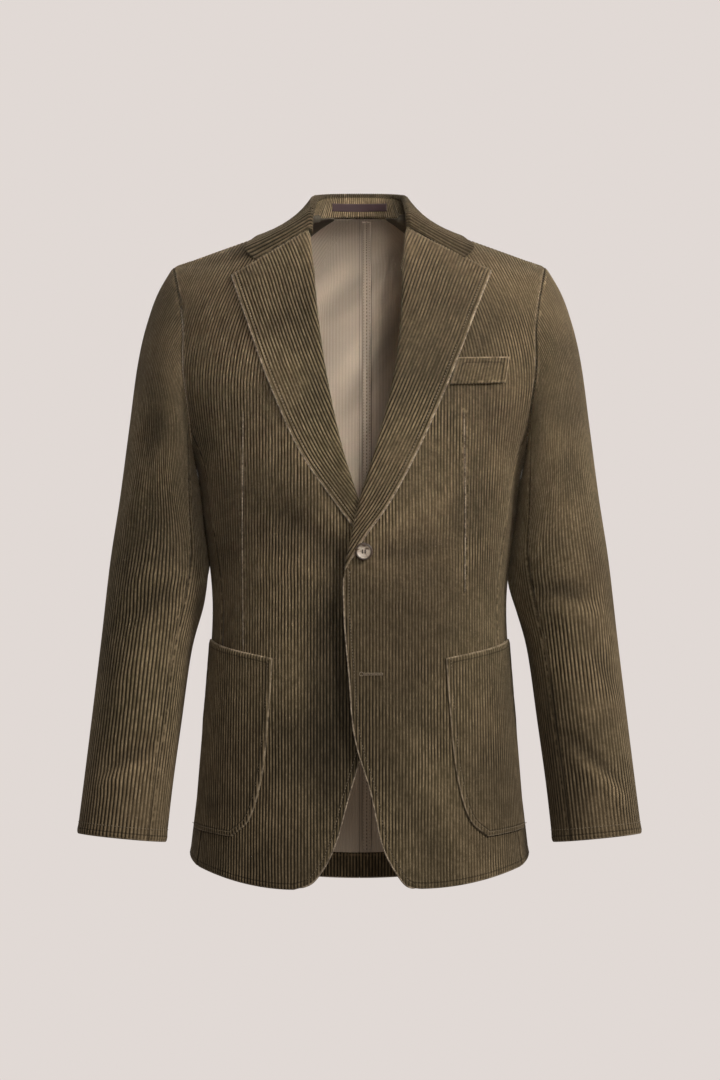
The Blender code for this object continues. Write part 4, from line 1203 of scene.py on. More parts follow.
def back_border(rows):
    """Centre back up to the neck, then the back neckline out to the shoulder seam."""
    part = np.clip(rows / NECK_SHARE, 0, 1)
    z = HEM_BACK_Z + (BACK_NECK_Z - HEM_BACK_Z) * part
    turn = 0.5 * math.pi * np.clip((rows - NECK_SHARE) / (1 - NECK_SHARE), 0, 1)
    x = SEAM_GAP / 2 + (NECK_SIDE_X - SEAM_GAP / 2) * np.sin(turn)
    z = z + (shoulder_z(NECK_SIDE_X) - BACK_NECK_Z) * (1 - np.cos(turn))
    return np.stack([x, z], axis=1)


FRONT_STATIONS = 0.38       # share of the collar that lies in front of the shoulder seam


def neckline(stations):
    """The seam that the stand is sewn to, from the gorge round to the centre back."""
    along_front = np.clip(stations / FRONT_STATIONS, 0, 1)
    edge = through(OVER_FRONT_EDGE, NECK_SHARE + (1 - NECK_SHARE) * along_front)
    front = np.stack([edge[:, 0], body_y(edge[:, 0], edge[:, 1], -1), edge[:, 1]], axis=1)
    along_back = np.clip((stations - FRONT_STATIONS) / (1 - FRONT_STATIONS), 0, 1)
    border = back_border(1.0 - (1 - NECK_SHARE) * along_back)
    back = np.stack([border[:, 0], body_y(border[:, 0], border[:, 1], 1), border[:, 1]], axis=1)
    return np.where((stations < FRONT_STATIONS)[:, None], front, back)


FOLD_RADIUS = 0.0030
FOLD_TUCK = 0.0035
COLLAR_END_SINK = 0.0038     # the collar ends dip under the lapels at the gorge
UNDER_END_DROP = 0.0046
OVER_END_DROP = 0.0026


def collar_stations(pitch, first=0.0):
    """Where the collar's columns lie, round both sides, evenly by their length."""
    dense = np.linspace(first, 1.0, 400)
    row = through(round_the_neck(), dense)
    middle = 0.3 * row[:, 0:3] + 0.4 * row[:, 3:6] + 0.3 * row[:, 6:9]
    steps = np.linalg.norm(np.diff(middle, axis=0), axis=1)
    arc = np.concatenate([[0.0], np.cumsum(steps)])
    arc = arc[-1] - arc
    columns = wale_columns(-arc[0], arc[0], pitch)
    return columns, np.interp(-np.abs(columns), -arc, dense)


def make_collar_fall():
    """The turned-down part of the collar, from one notch round the neck to the other."""
    arc, stations = collar_stations(WALE)
    mirror = np.stack([np.where(arc > 0, -1.0, 1.0), np.ones_like(arc), np.ones_like(arc)], axis=1)
    row = through(round_the_neck(), stations)
    fold, pull, edge = (row[:, start:start + 3] * mirror for start in (0, 3, 6))
    base = neckline(stations) * mirror
    outward = pull - fold
    outward /= np.linalg.norm(outward, axis=1, keepdims=True)
    inward = -outward
    stand_down = base - fold
    stand_down[stations < 0.08] = stand_down[np.argmin(np.abs(stations - 0.08))]
    stand_down[:, :2] *= 0.3
    stand_down /= np.linalg.norm(stand_down, axis=1, keepdims=True)
    cosine = np.sum(inward * stand_down, axis=1)
    bend = stand_down - inward * cosine[:, None]
    bend /= np.linalg.norm(bend, axis=1, keepdims=True)
    full = np.arccos(np.clip(cosine, -1, 1))
    tucked = np.array([1.0, 0.72, 0.45, 0.22])
    rows = []
    for share in tucked:
        reach = share * (full * FOLD_RADIUS + FOLD_TUCK)
        turn = np.minimum(reach / FOLD_RADIUS, full)[:, None]
        tail = np.maximum(reach - full * FOLD_RADIUS, 0.0)[:, None]
        rows.append(fold + inward * FOLD_RADIUS * np.sin(turn) + bend * FOLD_RADIUS * (1 - np.cos(turn))
                    + stand_down * tail)
    for share in row_shares(0.050, 0.006):
        rows.append((1 - share) ** 2 * fold + 2 * share * (1 - share) * pull + share ** 2 * edge)
    points = np.array(rows)
    points[..., 1] += COLLAR_END_SINK * (1.0 - ease(stations, 0.0, 0.075))
    points[..., 2] -= np.where(arc > 0, UNDER_END_DROP, OVER_END_DROP) * (1.0 - ease(stations, 0.0, 0.12))
    inside_of = points * 0.5 + np.array([0.0, 0.0, -0.20])
    normals = grid_normals(points, inside_of)
    count = len(tucked)
    inner = np.array([0.0, 0.010, 0.0]) - points[:count]
    inner[..., 2] = 0.0
    flip = np.sum(normals[:count] * inner, axis=2) < 0
    flip &= np.abs(normals[:count, :, 2]) < 0.8
    normals[:count][flip] *= -1.0
    down = np.cumsum(np.concatenate([np.zeros((1, len(arc))),
                                     np.linalg.norm(np.diff(points, axis=0), axis=2)]), axis=0)
    # The fall takes the darker copy of the corduroy: painted shade.
    return shell("collar_fall_cloth", points, normals, np.broadcast_to(arc / WALE, down.shape),
                 down, seams=[points[count:, 0], points[count:, -1]], thickness=0.0014, plain_inside=False,
                 cloth="corduroy_dark")


STAND_INSET = 0.0014
STAND_LEAN = 0.0011
STAND_FOOT = -0.02          # how far it runs down inside the neck seam, as a share of its height


def make_collar_stand():
    """The upright part of the collar, inside the fall, from the neck seam up to the fold."""
    arc, stations = collar_stations(WALE, 0.085)
    mirror = np.stack([np.where(arc > 0, -1.0, 1.0), np.ones_like(arc), np.ones_like(arc)], axis=1)
    base = neckline(stations) + np.array([0.0, 0.0, 3 * SEAM_GAP])
    fold = through(round_the_neck(), stations)[:, :3]
    up = (STAND_FOOT + (1 - STAND_FOOT) * row_shares(0.033, 0.006)[::-1])[:, None, None]
    half = base * (1 - up) + (fold + np.array([0, 0, -0.0030])) * up
    toward = np.array([0.0, 0.010, 0.0]) - half
    toward[..., 2] = 0.0
    toward /= np.linalg.norm(toward, axis=2, keepdims=True)
    points = (half + toward * (STAND_INSET + STAND_LEAN * up + CLOTH)) * mirror
    inward = toward * mirror
    normals = grid_normals(points, points - inward)
    down = (1 - up[..., 0]) * 0.030 * np.ones(len(arc))
    # The stand takes the lighter copy of the corduroy: painted light.
    return shell("collar_stand_cloth", points, normals, np.broadcast_to(arc / WALE, down.shape), down,
                 thickness=0.0018, plain_inside=False, height=0.0007, cloth="corduroy_light")


# ---------------------------------------------------------------- pockets
WELT_LENGTH = 0.0600
POCKET_PUFF = 0.0012


def pocket_point(arc, z, side):
    """A point of the body's front or side, stood off from it as a patch lies."""
    xs, depths, _ = SECTIONS[-1]
    x, y = look_up(xs, arc, z), -look_up(depths, arc, z)
    return np.stack([side * x, y, z * np.ones_like(x)], axis=-1)


def arc_of_x(x, z):
    xs = SECTIONS[-1][0]
    return np.array([np.interp(one_x, look_up(xs, SECTION_ARC, np.full_like(SECTION_ARC, one_z)),
                               SECTION_ARC) for one_x, one_z in zip(x, z)])


def pocket_arcs():
    """The arc at which a pocket's outer side lies, by height."""
    z = np.linspace(-0.69, -0.44, 60)
    dense = np.linspace(0.15, 0.30, 600)
    found = []
    for one_z in z:
        y = -look_up(SECTIONS[-1][1], dense, np.full(600, one_z))
        found.append(np.interp(POCKET_OUTER_Y, y, dense))
    return z, np.array(found)


def make_pocket(name, side):
    """A patch pocket laid on a front and side panel, slightly puffed in its middle."""
    inner = through(POCKET_INNER, np.linspace(0, 1, 120))
    inner_arc = arc_of_x(inner[:, 0], inner[:, 1])
    outer_z, outer_arc = pocket_arcs()
    mouth_arc = np.interp(POCKET_MOUTH_OUTER_Z, outer_z, outer_arc)
    foot_arc = np.interp(POCKET_BOTTOM_OUTER_Z, outer_z, outer_arc)
    arc = wale_columns(inner_arc[0] + 0.0001, mouth_arc + 0.008)
    share = np.clip((arc - inner_arc[0]) / (mouth_arc - inner_arc[0]), 0, 1.2)
    top = inner[0, 1] + (POCKET_MOUTH_OUTER_Z - inner[0, 1]) * share
    low_arc = np.concatenate([inner_arc, [foot_arc, foot_arc + 0.05]])
    slope = (POCKET_BOTTOM_OUTER_Z - inner[-1, 1]) / (foot_arc - inner_arc[-1])
    low_z = np.concatenate([inner[:, 1], [POCKET_BOTTOM_OUTER_Z, POCKET_BOTTOM_OUTER_Z + slope * 0.05]])
    bottom = np.interp(arc, np.maximum.accumulate(low_arc), low_z)
    shares = row_shares(0.205, 0.0075)
    z = top + (bottom - top) * shares[:, None]
    grid_arc = np.broadcast_to(arc, z.shape)
    points = pocket_point(grid_arc, z, side)
    normals = grid_normals(points, axis_of(points))
    normals[:, 0] = normals[:, 1]
    inside = np.interp(z, outer_z, outer_arc) - grid_arc
    middle = np.clip(inside / 0.04, 0, 1) * np.clip((grid_arc - inner_arc[0]) / 0.05, 0, 1)
    puff = POCKET_PUFF * middle * np.sin(math.pi * shares[:, None])
    points = points + normals * (LAID_GAP + CLOTH + puff)[..., None]
    edge_line = pocket_point(inner_arc, inner[:, 1], side)
    foot_line = pocket_point(np.linspace(inner_arc[-1], foot_arc, 20),
                             np.linspace(inner[-1, 1], POCKET_BOTTOM_OUTER_Z, 20), side)
    mouth_line = pocket_point(np.linspace(inner_arc[0], mouth_arc, 20),
                              np.linspace(inner[0, 1], POCKET_MOUTH_OUTER_Z, 20), side)
    outer_line = pocket_point(outer_arc, outer_z, side)
    lines = [line + face_normal(line) * (LAID_GAP + CLOTH)
             for line in (edge_line, foot_line, mouth_line, outer_line)]
    return shell(name, points, normals, grid_arc / WALE, -z, inside, edges=lines)


def face_normal(line):
    """The way out from the body at each point of a line on its face."""
    reach = through(BODY_RINGS, line[:, 2])
    across = np.clip(np.abs(line[:, 0]) / reach[:, 0], 0, 0.999) ** (ROUNDNESS - 1) / reach[:, 0]
    depth = np.clip(np.abs(line[:, 1]) / reach[:, 1], 0, 0.999) ** (ROUNDNESS - 1) / reach[:, 1]
    normal = np.stack([np.sign(line[:, 0]) * across, -depth, np.zeros(len(line))], axis=1)
    return normal / np.linalg.norm(normal, axis=1, keepdims=True)


def make_welt():
    """The slanted welt on the wearer's left chest, open along its top."""
    corners = np.asarray(WELT_CORNERS)
    columns = wale_columns(0.0, WELT_LENGTH)
    across = (columns / WELT_LENGTH)[None, :, None]
    up = row_shares(0.030, 0.006)[::-1][:, None, None]
    low = corners[0] * (1 - across) + corners[1] * across
    high = corners[3] * (1 - across) + corners[2] * across
    flat = low * (1 - up) + high * up
    x, z = flat[..., 0], flat[..., 1]
    points = np.stack([x, front_y(x, z, 1) - (LAID_GAP * 0.6 + CLOTH), z], axis=2)
    normals = front_normal(x, z, 1)
    lines = [points[0], points[:, 0], points[:, -1], points[-1]]
    return shell("breast_welt_cloth", points, normals, np.broadcast_to(columns / WALE, x.shape), -z,
                 edges=lines[:3], seams=[lines[3]], plain_inside=False)


# ---------------------------------------------------------------- small pieces
def plain_piece(name, points, faces, material):
    """A mesh piece that rides with the jacket."""
    data = bpy.data.meshes.new(name)
    data.from_pydata([tuple(point) for point in points], [], faces)
    data.materials.append(MATERIALS[material])
    data.shade_smooth()
    piece = bpy.data.objects.new(name, data)
    bpy.context.scene.collection.objects.link(piece)
    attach(piece, "root")
    return piece


def frames_along(line, normals):
    """Directions along a line and across it, square to the cloth's normals."""
    along = np.gradient(line, axis=0)
    along /= np.maximum(np.linalg.norm(along, axis=1, keepdims=True), 1e-12)
    across = np.cross(along, normals)
    across /= np.maximum(np.linalg.norm(across, axis=1, keepdims=True), 1e-12)
    return along, across


def rings(line, across, normals, radii, sides):
    """Points of a round tube: a ring of them about each point of a line."""
    turns = (2 * math.pi * np.arange(sides) / sides)[:, None]
    across, normals = (np.broadcast_to(way, line.shape)[:, None] for way in (across, normals))
    swing = across * np.cos(turns) + normals * np.sin(turns)
    return (line[:, None] + swing * np.reshape(radii, (-1, 1, 1))).reshape(-1, 3)


def ring_faces(first, count, sides):
    """Faces of such a tube with count rings, the points numbered from first, and its two ends."""
    faces = []
    for place in range(count - 1):
        for k in range(sides):
            a, b = first + place * sides + k, first + place * sides + (k + 1) % sides
            faces.append((a, b, b + sides, a + sides))
    faces.append(tuple(first + k for k in reversed(range(sides))))
    faces.append(tuple(first + (count - 1) * sides + k for k in range(sides)))
    return faces


def even_stations(line, pitch):
    """Places along a polyline, evenly spaced; gives the points as shares of its rows."""
    steps = np.linalg.norm(np.diff(line, axis=0), axis=1)
    length = np.concatenate([[0.0], np.cumsum(steps)])
    count = max(2, int(length[-1] / pitch))
    at = (np.arange(count) + 0.5) / count * length[-1]
    return np.interp(at, length, np.arange(len(line)))


def rows_at(values, at):
    low = np.clip(at.astype(int), 0, len(values) - 2)
    part = (at - low)[:, None]
    return values[low] * (1 - part) + values[low + 1] * part


THREAD_SIDES = 6
CORD_SIDES = 8
STITCH_SECTIONS = (
    # share of its length, share of its radius, share of its height
    (-0.50, 0.15, -0.9), (-0.34, 0.80, 0.0), (0.0, 1.0, 0.5), (0.34, 0.80, 0.0), (0.50, 0.15, -0.9))


def stitches(name, lines, pitch=0.0034, length=0.0026, radius=0.00042, material="thread"):
    """Rows of stitches, each a short bowed thread, as one mesh.

    lines are pairs of a line of points on the cloth and the cloth's normals there.
    """
    points, faces = [], []
    share, size, lift = np.transpose(STITCH_SECTIONS)
    for line, normals in lines:
        at = even_stations(line, pitch)
        ways = (line, *frames_along(line, normals), normals)
        for c, t, s, n in zip(*(rows_at(values, at) for values in ways)):
            middles = c + np.outer(share * length, t) + np.outer(lift * radius, n)
            faces += ring_faces(len(points), len(share), THREAD_SIDES)
            points.extend(rings(middles, s, n, radius * size, THREAD_SIDES))
    return plain_piece(name, points, faces, material)


def bead(name, line, normals, radius, material="corduroy", lift=0.0):
    """A thin round cord along a line on the cloth, with tapered ends."""
    across = frames_along(line, normals)[1]
    places = np.arange(len(line))
    shares = np.minimum(1.0, 0.25 + 0.25 * np.minimum(places, places[::-1]))
    points = rings(line + normals * lift, across, normals, radius * shares, CORD_SIDES)
    return plain_piece(name, points, ring_faces(0, len(line), CORD_SIDES), material)


def inset(line, normals, toward, amount):
    """A line moved over the cloth by an amount, to the side on which toward lies."""
    across = frames_along(line, normals)[1]
    side = np.sign(np.sum(across * (toward - line), axis=1))[:, None]
    return line + across * side * amount


# ---------------------------------------------------------------- buttons
BUTTON_X = 0.0048
UPPER_BUTTON_Z = -0.3595
LOWER_BUTTON_Z = -0.4945
BUTTON_RADIUS = 0.0098
BUTTON_THICKNESS = 0.0026
BUTTON_SHANK = 0.0036
LOWER_SHANK = 0.0006
SHANK_TURNS = 7
SHANK_RADIUS = 0.0014
BUTTON_HOLE_RADIUS = 0.00085
BUTTON_HOLE_REACH = 0.0021
BUTTON_PROFILE = (
    # share of the radius, share of the thickness
    (0.00, 0.50), (0.10, 0.50), (0.30, 0.50), (0.46, 0.51), (0.56, 0.56), (0.64, 0.68),
    (0.70, 0.84), (0.76, 0.95), (0.83, 1.00), (0.90, 0.97), (0.96, 0.86), (0.99, 0.72),
    (1.00, 0.55), (0.985, 0.38), (0.94, 0.22), (0.86, 0.10), (0.76, 0.02), (0.60, 0.0), (0.0, 0.0))


def make_button(name, x, z, face_y, shank):
    """A turned four-hole button with a raised rim and a dished centre, facing the front."""
    count = 64
    turns = np.linspace(0, 2 * math.pi, count, endpoint=False)
    points, faces, rings = [], [], []
    for share, height in BUTTON_PROFILE:
        if share == 0.0:
            rings.append([len(points)])
            points.append((0.0, 0.0, height * BUTTON_THICKNESS))
            continue
        rings.append(list(range(len(points), len(points) + count)))
        points += [(share * BUTTON_RADIUS * math.cos(t), share * BUTTON_RADIUS * math.sin(t),
                    height * BUTTON_THICKNESS) for t in turns]
    for here, there in zip(rings, rings[1:]):
        for k in range(count):
            following = (k + 1) % count
            if len(here) == 1:
                faces.append((here[0], there[k], there[following]))
            elif len(there) == 1:
                faces.append((here[following], here[k], there[0]))
            else:
                faces.append((here[k], there[k], there[following], here[following]))
    button = plain_piece(name, points, faces, "horn")
    cutters = []
    for corner in range(4):
        turn = math.radians(45 + 90 * corner)
        bpy.ops.mesh.primitive_cylinder_add(
            vertices=20, radius=BUTTON_HOLE_RADIUS, depth=4 * BUTTON_THICKNESS,
            location=(BUTTON_HOLE_REACH * math.cos(turn), BUTTON_HOLE_REACH * math.sin(turn), 0))
        cutter = bpy.context.object
        cutters.append(cutter)
        cut = button.modifiers.new("hole", "BOOLEAN")
        cut.operation = "DIFFERENCE"
        cut.solver = "EXACT"
        cut.object = cutter
    bpy.context.view_layer.update()
    shown = button.evaluated_get(bpy.context.evaluated_depsgraph_get())
    data = bpy.data.meshes.new_from_object(shown)
    button.modifiers.clear()
    button.data = data
    data.set_sharp_from_angle(angle=math.radians(40))
    for cutter in cutters:
        bpy.data.objects.remove(cutter, do_unlink=True)
    turned = np.array([vertex.co for vertex in data.vertices])
    placed = np.stack([turned[:, 0] + x, face_y - shank - turned[:, 2], turned[:, 1] + z], axis=1)
    data.vertices.foreach_set("co", placed.ravel())
    rim = data.attributes.new("rim", "FLOAT", "POINT")
    rim.data.foreach_set("value", np.hypot(turned[:, 0], turned[:, 1]) / BUTTON_RADIUS)
    data.update()
    return button


def make_button_thread(name, x, z, face_y, shank):
    """Three strands across each pair of holes, and the wound shank behind."""
    share = np.linspace(-1, 1, 9)
    reach = BUTTON_HOLE_REACH * 0.7071
    top = face_y - shank - 0.55 * BUTTON_THICKNESS + 0.0002 - 0.0003 * (1 - share ** 2)
    threads = []
    for way in (-1, 1):
        for offset in (-0.00045, 0.00005, 0.00050):
            strand = np.stack([np.full(9, x + way * reach + offset), top, z + share * reach], axis=1)
            threads.append((strand, np.tile([0.0, -1.0, 0.0], (9, 1)), 0.00024))
    share = np.linspace(0, 1, SHANK_TURNS * 12 + 1)
    turn = 2 * math.pi * SHANK_TURNS * share
    out = np.stack([np.cos(turn), np.zeros(len(turn)), np.sin(turn)], axis=1)
    wound = np.array([x, face_y, z]) + out * SHANK_RADIUS
    wound[:, 1] -= shank * (0.05 + 0.9 * share)
    threads.append((wound, out, 0.00030))
    points, faces = [], []
    for line, normals, radius in threads:
        faces += ring_faces(len(points), len(line), THREAD_SIDES)
        points.extend(rings(line, frames_along(line, normals)[1], normals, radius, THREAD_SIDES))
    return plain_piece(name, points, faces, "dark_thread")


# ---------------------------------------------------------------- inside pieces and the hem
LABEL_Z = 0.0255
LABEL_WIDTH = 0.0610
LABEL_HEIGHT = 0.0090
LABEL_THICKNESS = 0.0006
BINDING_EDGE = 0.0034       # from the binding's middle to each of its outer rows of stitches


def make_label():
    """A blank woven label on the stand's inner face, at the centre back."""
    across = np.linspace(-0.5, 0.5, 41) * LABEL_WIDTH
    stations = np.linspace(0.45, 1.0, 120)
    base = neckline(stations) + np.array([0.0, 0.0, 3 * SEAM_GAP])
    fold = through(round_the_neck(), stations)[:, :3] + np.array([0, 0, -0.0030])
    levels = LABEL_Z + np.linspace(-0.5, 0.5, 7) * LABEL_HEIGHT
    points = np.zeros((7, len(across), 3))
    for row, z in enumerate(levels):
        share = (z - base[:, 2]) / (fold[:, 2] - base[:, 2])
        half = base + (fold - base) * share[:, None]
        toward = np.array([0.0, 0.010, 0.0]) - half
        toward[:, 2] = 0.0
        toward /= np.linalg.norm(toward, axis=1, keepdims=True)
        half = half + toward * (STAND_INSET + STAND_LEAN * share + CLOTH + 0.0010)[:, None]
        points[row, :, 0] = across
        points[row, :, 1] = np.interp(np.abs(across), half[::-1, 0], half[::-1, 1])
        points[row, :, 2] = z
    return thin_sheet("label_cloth", points, np.array([0.0, -1.0, 0.0]), LABEL_THICKNESS,
                      "label")


def thin_sheet(name, points, facing, thickness, material, marks=None):
    """A closed thin sheet from a grid of points that faces one way."""
    normals = grid_normals(points, points - facing)
    front, back = points + normals * thickness / 2, points - normals * thickness / 2
    quads = grid_quads(*points.shape[:2])
    a, b, c = front.reshape(-1, 3)[quads[0][:3]]
    if np.dot(np.cross(b - a, c - b), normals.reshape(-1, 3)[0]) < 0:
        quads = quads[:, ::-1]
    total = points[..., 0].size
    faces = quads.tolist() + (quads[:, ::-1] + total).tolist() + rim_faces(quads.tolist(), total)
    both = np.concatenate([front.reshape(-1, 3), back.reshape(-1, 3)])
    piece = plain_piece(name, both, faces, material)
    for mark, grid in (marks or {}).items():
        values = np.broadcast_to(grid, points.shape[:2]).ravel().astype(np.float32)
        piece.data.attributes.new(mark, "FLOAT", "POINT").data.foreach_set("value", np.tile(values, 2))
    return piece


def back_inside(x, z, depth):
    """A point inside the back, a depth below the cloth's outer face."""
    step = 0.002
    x, z = np.broadcast_arrays(np.asarray(x, float), np.asarray(z, float))
    slope_x = (body_y(x + step, z, 1) - body_y(x - step, z, 1)) / (2 * step)
    slope_z = (body_y(x, z + step, 1) - body_y(x, z - step, 1)) / (2 * step)
    normal = np.stack([-slope_x, np.ones_like(slope_x), -slope_z], axis=-1)
    normal /= np.linalg.norm(normal, axis=-1, keepdims=True)
    point = np.stack([x, body_y(x, z, 1), z], axis=-1) - normal * depth
    return creased(point, normal, np.stack([x, z], axis=-1), BACK_CREASES)[0]


def make_binding():
    """The bound centre-back seam: a strip folded over it, with a ridge and a row of stitches."""
    z = np.linspace(BACK_NECK_Z - 0.0016, HEM_BACK_Z + HEM_TURNING + 0.002, 130)
    x = np.array([-0.5, -0.42, -0.30, -0.16, -0.05, 0.0, 0.05, 0.16, 0.30, 0.42, 0.5]) * BACK_TAPE_WIDTH
    swell = np.array([0.0, 0.8, 1.0, 0.8, 0.25, 0.0, 0.25, 0.8, 1.0, 0.8, 0.0]) * 0.0009
    grid_x, grid_z = np.meshgrid(x, z)
    points = back_inside(grid_x + BACK_TAPE_X, grid_z, CLOTH + 0.0008)
    ridge = back_inside(grid_x + BACK_TAPE_X, grid_z, CLOTH + 0.0018) - points
    points = points + ridge * (swell / 0.0010)[None, :, None]
    thin_sheet("centre_back_binding_cloth", points, np.array([0.0, -1.0, 0.0]), 0.0005,
               "corduroy_inside", {"wale": grid_x / WALE * 0.5, "down": -grid_z})

    def upright(x, depth):
        return back_inside(np.full(len(z), x), z, CLOTH + depth)
    up = np.tile([0.0, -1.0, 0.0], (len(z), 1))
    stitches("centre_back_binding_stitches", [(upright(BACK_TAPE_X, 0.0012), up)], pitch=0.0042,
             length=0.0026, radius=0.0004, material="dark_thread")
    # Dark cords along the strip's two edges: painted shade where it meets the cloth.
    for way, word in ((-1, "right"), (1, "left")):
        border = upright(BACK_TAPE_X + way * BACK_TAPE_WIDTH / 2, 0.0007)
        bead("centre_back_binding_edge_" + word, border, up, 0.0005, "dark_thread")
    rows = [(upright(BACK_TAPE_X + way * BINDING_EDGE, 0.0019), up) for way in (-1, 1)]
    stitches("centre_back_binding_edge_stitches", rows, length=0.0022, radius=0.00030)


def make_hem_facing():
    """The back's turned-up hem, inside it, between the side-back seams."""
    _, seam_y, _ = armhole(math.radians(BACK_SEAM_ANGLE))
    reach = side_x(seam_y * np.ones(1), np.array([HEM_BACK_Z]))[0] - 0.006
    columns = wale_columns(-reach, reach)
    up = row_shares(HEM_TURNING, 0.006)[:, None] * (HEM_TURNING - 0.0012) + 0.0012
    hem = HEM_BACK_Z + (HEM_SIDE_Z - HEM_BACK_Z) * (np.abs(columns) / reach) ** 2
    z = hem[None, :] + up[::-1]
    x = np.broadcast_to(columns, z.shape)
    points = back_inside(x, z, CLOTH + LAID_GAP * 0.6)
    normals = grid_normals(points, points - np.array([0.0, -1.0, 0.0]))
    shell("back_hem_facing_cloth", points, normals, x / WALE, -z, seams=[points[0]],
          thickness=0.0006, plain_inside=False, height=0.0006)


def make_neck_facing(name, side, tip):
    """The shoulder end of a front's facing, inside the neck below the stand, from its tip out."""
    across = np.linspace(0, 1, 22)[:, None]
    top = np.array([0.0625, 0.0140]) * (1 - across) + np.array([tip, 0.0160]) * across
    low = np.array([0.0620, -0.0080]) * (1 - across) + np.array([tip + 0.0006, 0.0148]) * across
    low[:, 1] += 0.0015 * np.sin(np.linspace(0, math.pi, 22))
    up = np.linspace(0, 1, 9)[None, :, None]
    flat = top[:, None] * (1 - up) + low[:, None] * up
    points = back_inside(side * flat[..., 0], flat[..., 1], CLOTH + 0.0022)
    thin_sheet(name, points, np.array([0.0, -1.0, -0.2]), 0.0008, "facing",
               {"wale": flat[..., 0] / WALE, "down": -flat[..., 1], "edge": 0.02, "seam": 0.02})


# ---------------------------------------------------------------- stitching
STITCH_IN = 0.0062          # how far inside an edge its row of stitches runs
ON_WALES = 0.0009           # height of what lies on the crests
CUFF_STITCH = 0.013
HEM_CORNER = 0.02           # share of a front's border at which its stitches start
EDGE_RADIUS = 0.0008
LAPEL_EDGE_RADIUS = 0.0011
SEAM_CORD = 0.0008          # radius of a seam's turnings, and how deep their middle lies
SEAM_DEPTH = 0.0010
SIDES = ((1, "left"), (-1, "right"))


def normals_on_front(line, side):
    return front_normal(line[:, 0], line[:, 2], side)


def front_edge_rows(edge_table, side, first, last):
    """Rows of stitches along a front's edge and cutaway, between two shares of its border."""
    edge = through(edge_table, np.linspace(first, last, 200))
    line = front_line(edge[:, 0], edge[:, 1], side)
    normals = normals_on_front(line, side)
    toward = line + np.array([side * 0.05, 0.0, 0.02])
    moved = inset(line, normals, toward, STITCH_IN)
    moved[:, 1] = front_y(moved[:, 0], moved[:, 2], side)
    return moved + normals * ON_WALES, normals


def lapel_edge_rows(table, side):
    at = np.linspace(0.06, 0.985, 120)
    line = lapel_flat(table, np.full(120, STITCH_IN), at, side)
    normals = normals_on_front(line, side)
    return line + normals * ON_WALES, normals


def pocket_rows(side):
    """Stitches round a patch pocket: down its inner edge, round the foot and across its mouth."""
    inner = through(POCKET_INNER, np.linspace(0.0, 1.0, 90))
    inner_arc = arc_of_x(inner[:, 0], inner[:, 1])
    outer_z, outer_arc = pocket_arcs()
    foot = np.linspace(inner_arc[-1], np.interp(POCKET_BOTTOM_OUTER_Z, outer_z, outer_arc), 40)[1:35]
    foot_z = np.linspace(inner[-1, 1], POCKET_BOTTOM_OUTER_Z, 40)[1:35]
    arc = np.concatenate([inner_arc, foot])
    z = np.concatenate([inner[:, 1], foot_z])
    line = pocket_point(arc, z, side)
    normals = face_normal(line)
    middle = pocket_point(np.full(len(z), 0.5 * (foot[0] + foot[-1])), np.full(len(z), -0.57), side)
    raised = LAID_GAP + CLOTH + ON_WALES
    return inset(line, normals, middle, STITCH_IN * 0.8) + normals * raised, normals


def make_buttonhole(name, x, z, side, reach):
    """A keyhole buttonhole worked in pale thread: an eye towards the edge and two purled lips."""
    turns = np.linspace(-0.80 * math.pi, 0.80 * math.pi, 18)
    eye = 0.0021
    loop = [(x + eye * -math.cos(t), z + eye * math.sin(t)) for t in turns]
    lip = np.linspace(0.0, 1.0, 22)
    low = [(x + eye + (reach - eye) * s, z + 0.0009) for s in lip]
    high = [(x + eye + (reach - eye) * s, z - 0.0009) for s in lip[::-1]]
    flat = np.array(loop + low + high + [loop[0]])
    flat = rows_at(flat, np.linspace(0, len(flat) - 1, 220))
    line = front_line(flat[:, 0], flat[:, 1], side)
    line[:, 2] += 0.00028 * np.sin(np.arange(220) * math.pi * 0.5)
    normals = normals_on_front(line, side)
    bead(name, line + normals * (ON_WALES + 0.0002), normals, 0.00050, "thread")
    # The slit between the lips is a dark thread cord: painted shade in the opening.
    slit = front_line(x + reach * lip, np.full(22, z), side)
    normals = normals_on_front(slit, side)
    bead(name + "_slit", slit + normals * ON_WALES * 0.9, normals, 0.0006, "dark_thread")


def cuff_rows(side):
    """Stitches round a cuff, across the upper sleeve and then the under one."""
    rows = []
    for first, last in ((SLEEVE_FRONT_SEAM, SLEEVE_BACK_SEAM),
                        (SLEEVE_BACK_SEAM, 360 + SLEEVE_FRONT_SEAM)):
        angle = np.radians(np.linspace(first + 1, last - 1, 60))
        along = np.full(60, 1.0 - CUFF_STITCH / SLEEVE_LENGTH)
        line = sleeve_point(angle, along)
        out = line - sleeve_axis(along)
        out /= np.linalg.norm(out, axis=1, keepdims=True)
        mirror = np.array([side, 1.0, 1.0])
        rows.append(((line + out * ON_WALES) * mirror, out * mirror))
    return rows


def along_front(side, points):
    """A line over a front through a few (x, z) points, with its normals."""
    flat = np.array(points, float)
    flat = rows_at(flat, np.linspace(0, len(flat) - 1, 80))
    line = front_line(flat[:, 0], flat[:, 1], side)
    return line, normals_on_front(line, side)


def outward(line):
    """The way out from the body's middle, level with each point of a line."""
    away = line - axis_of(line)
    return away / np.linalg.norm(away, axis=1, keepdims=True)


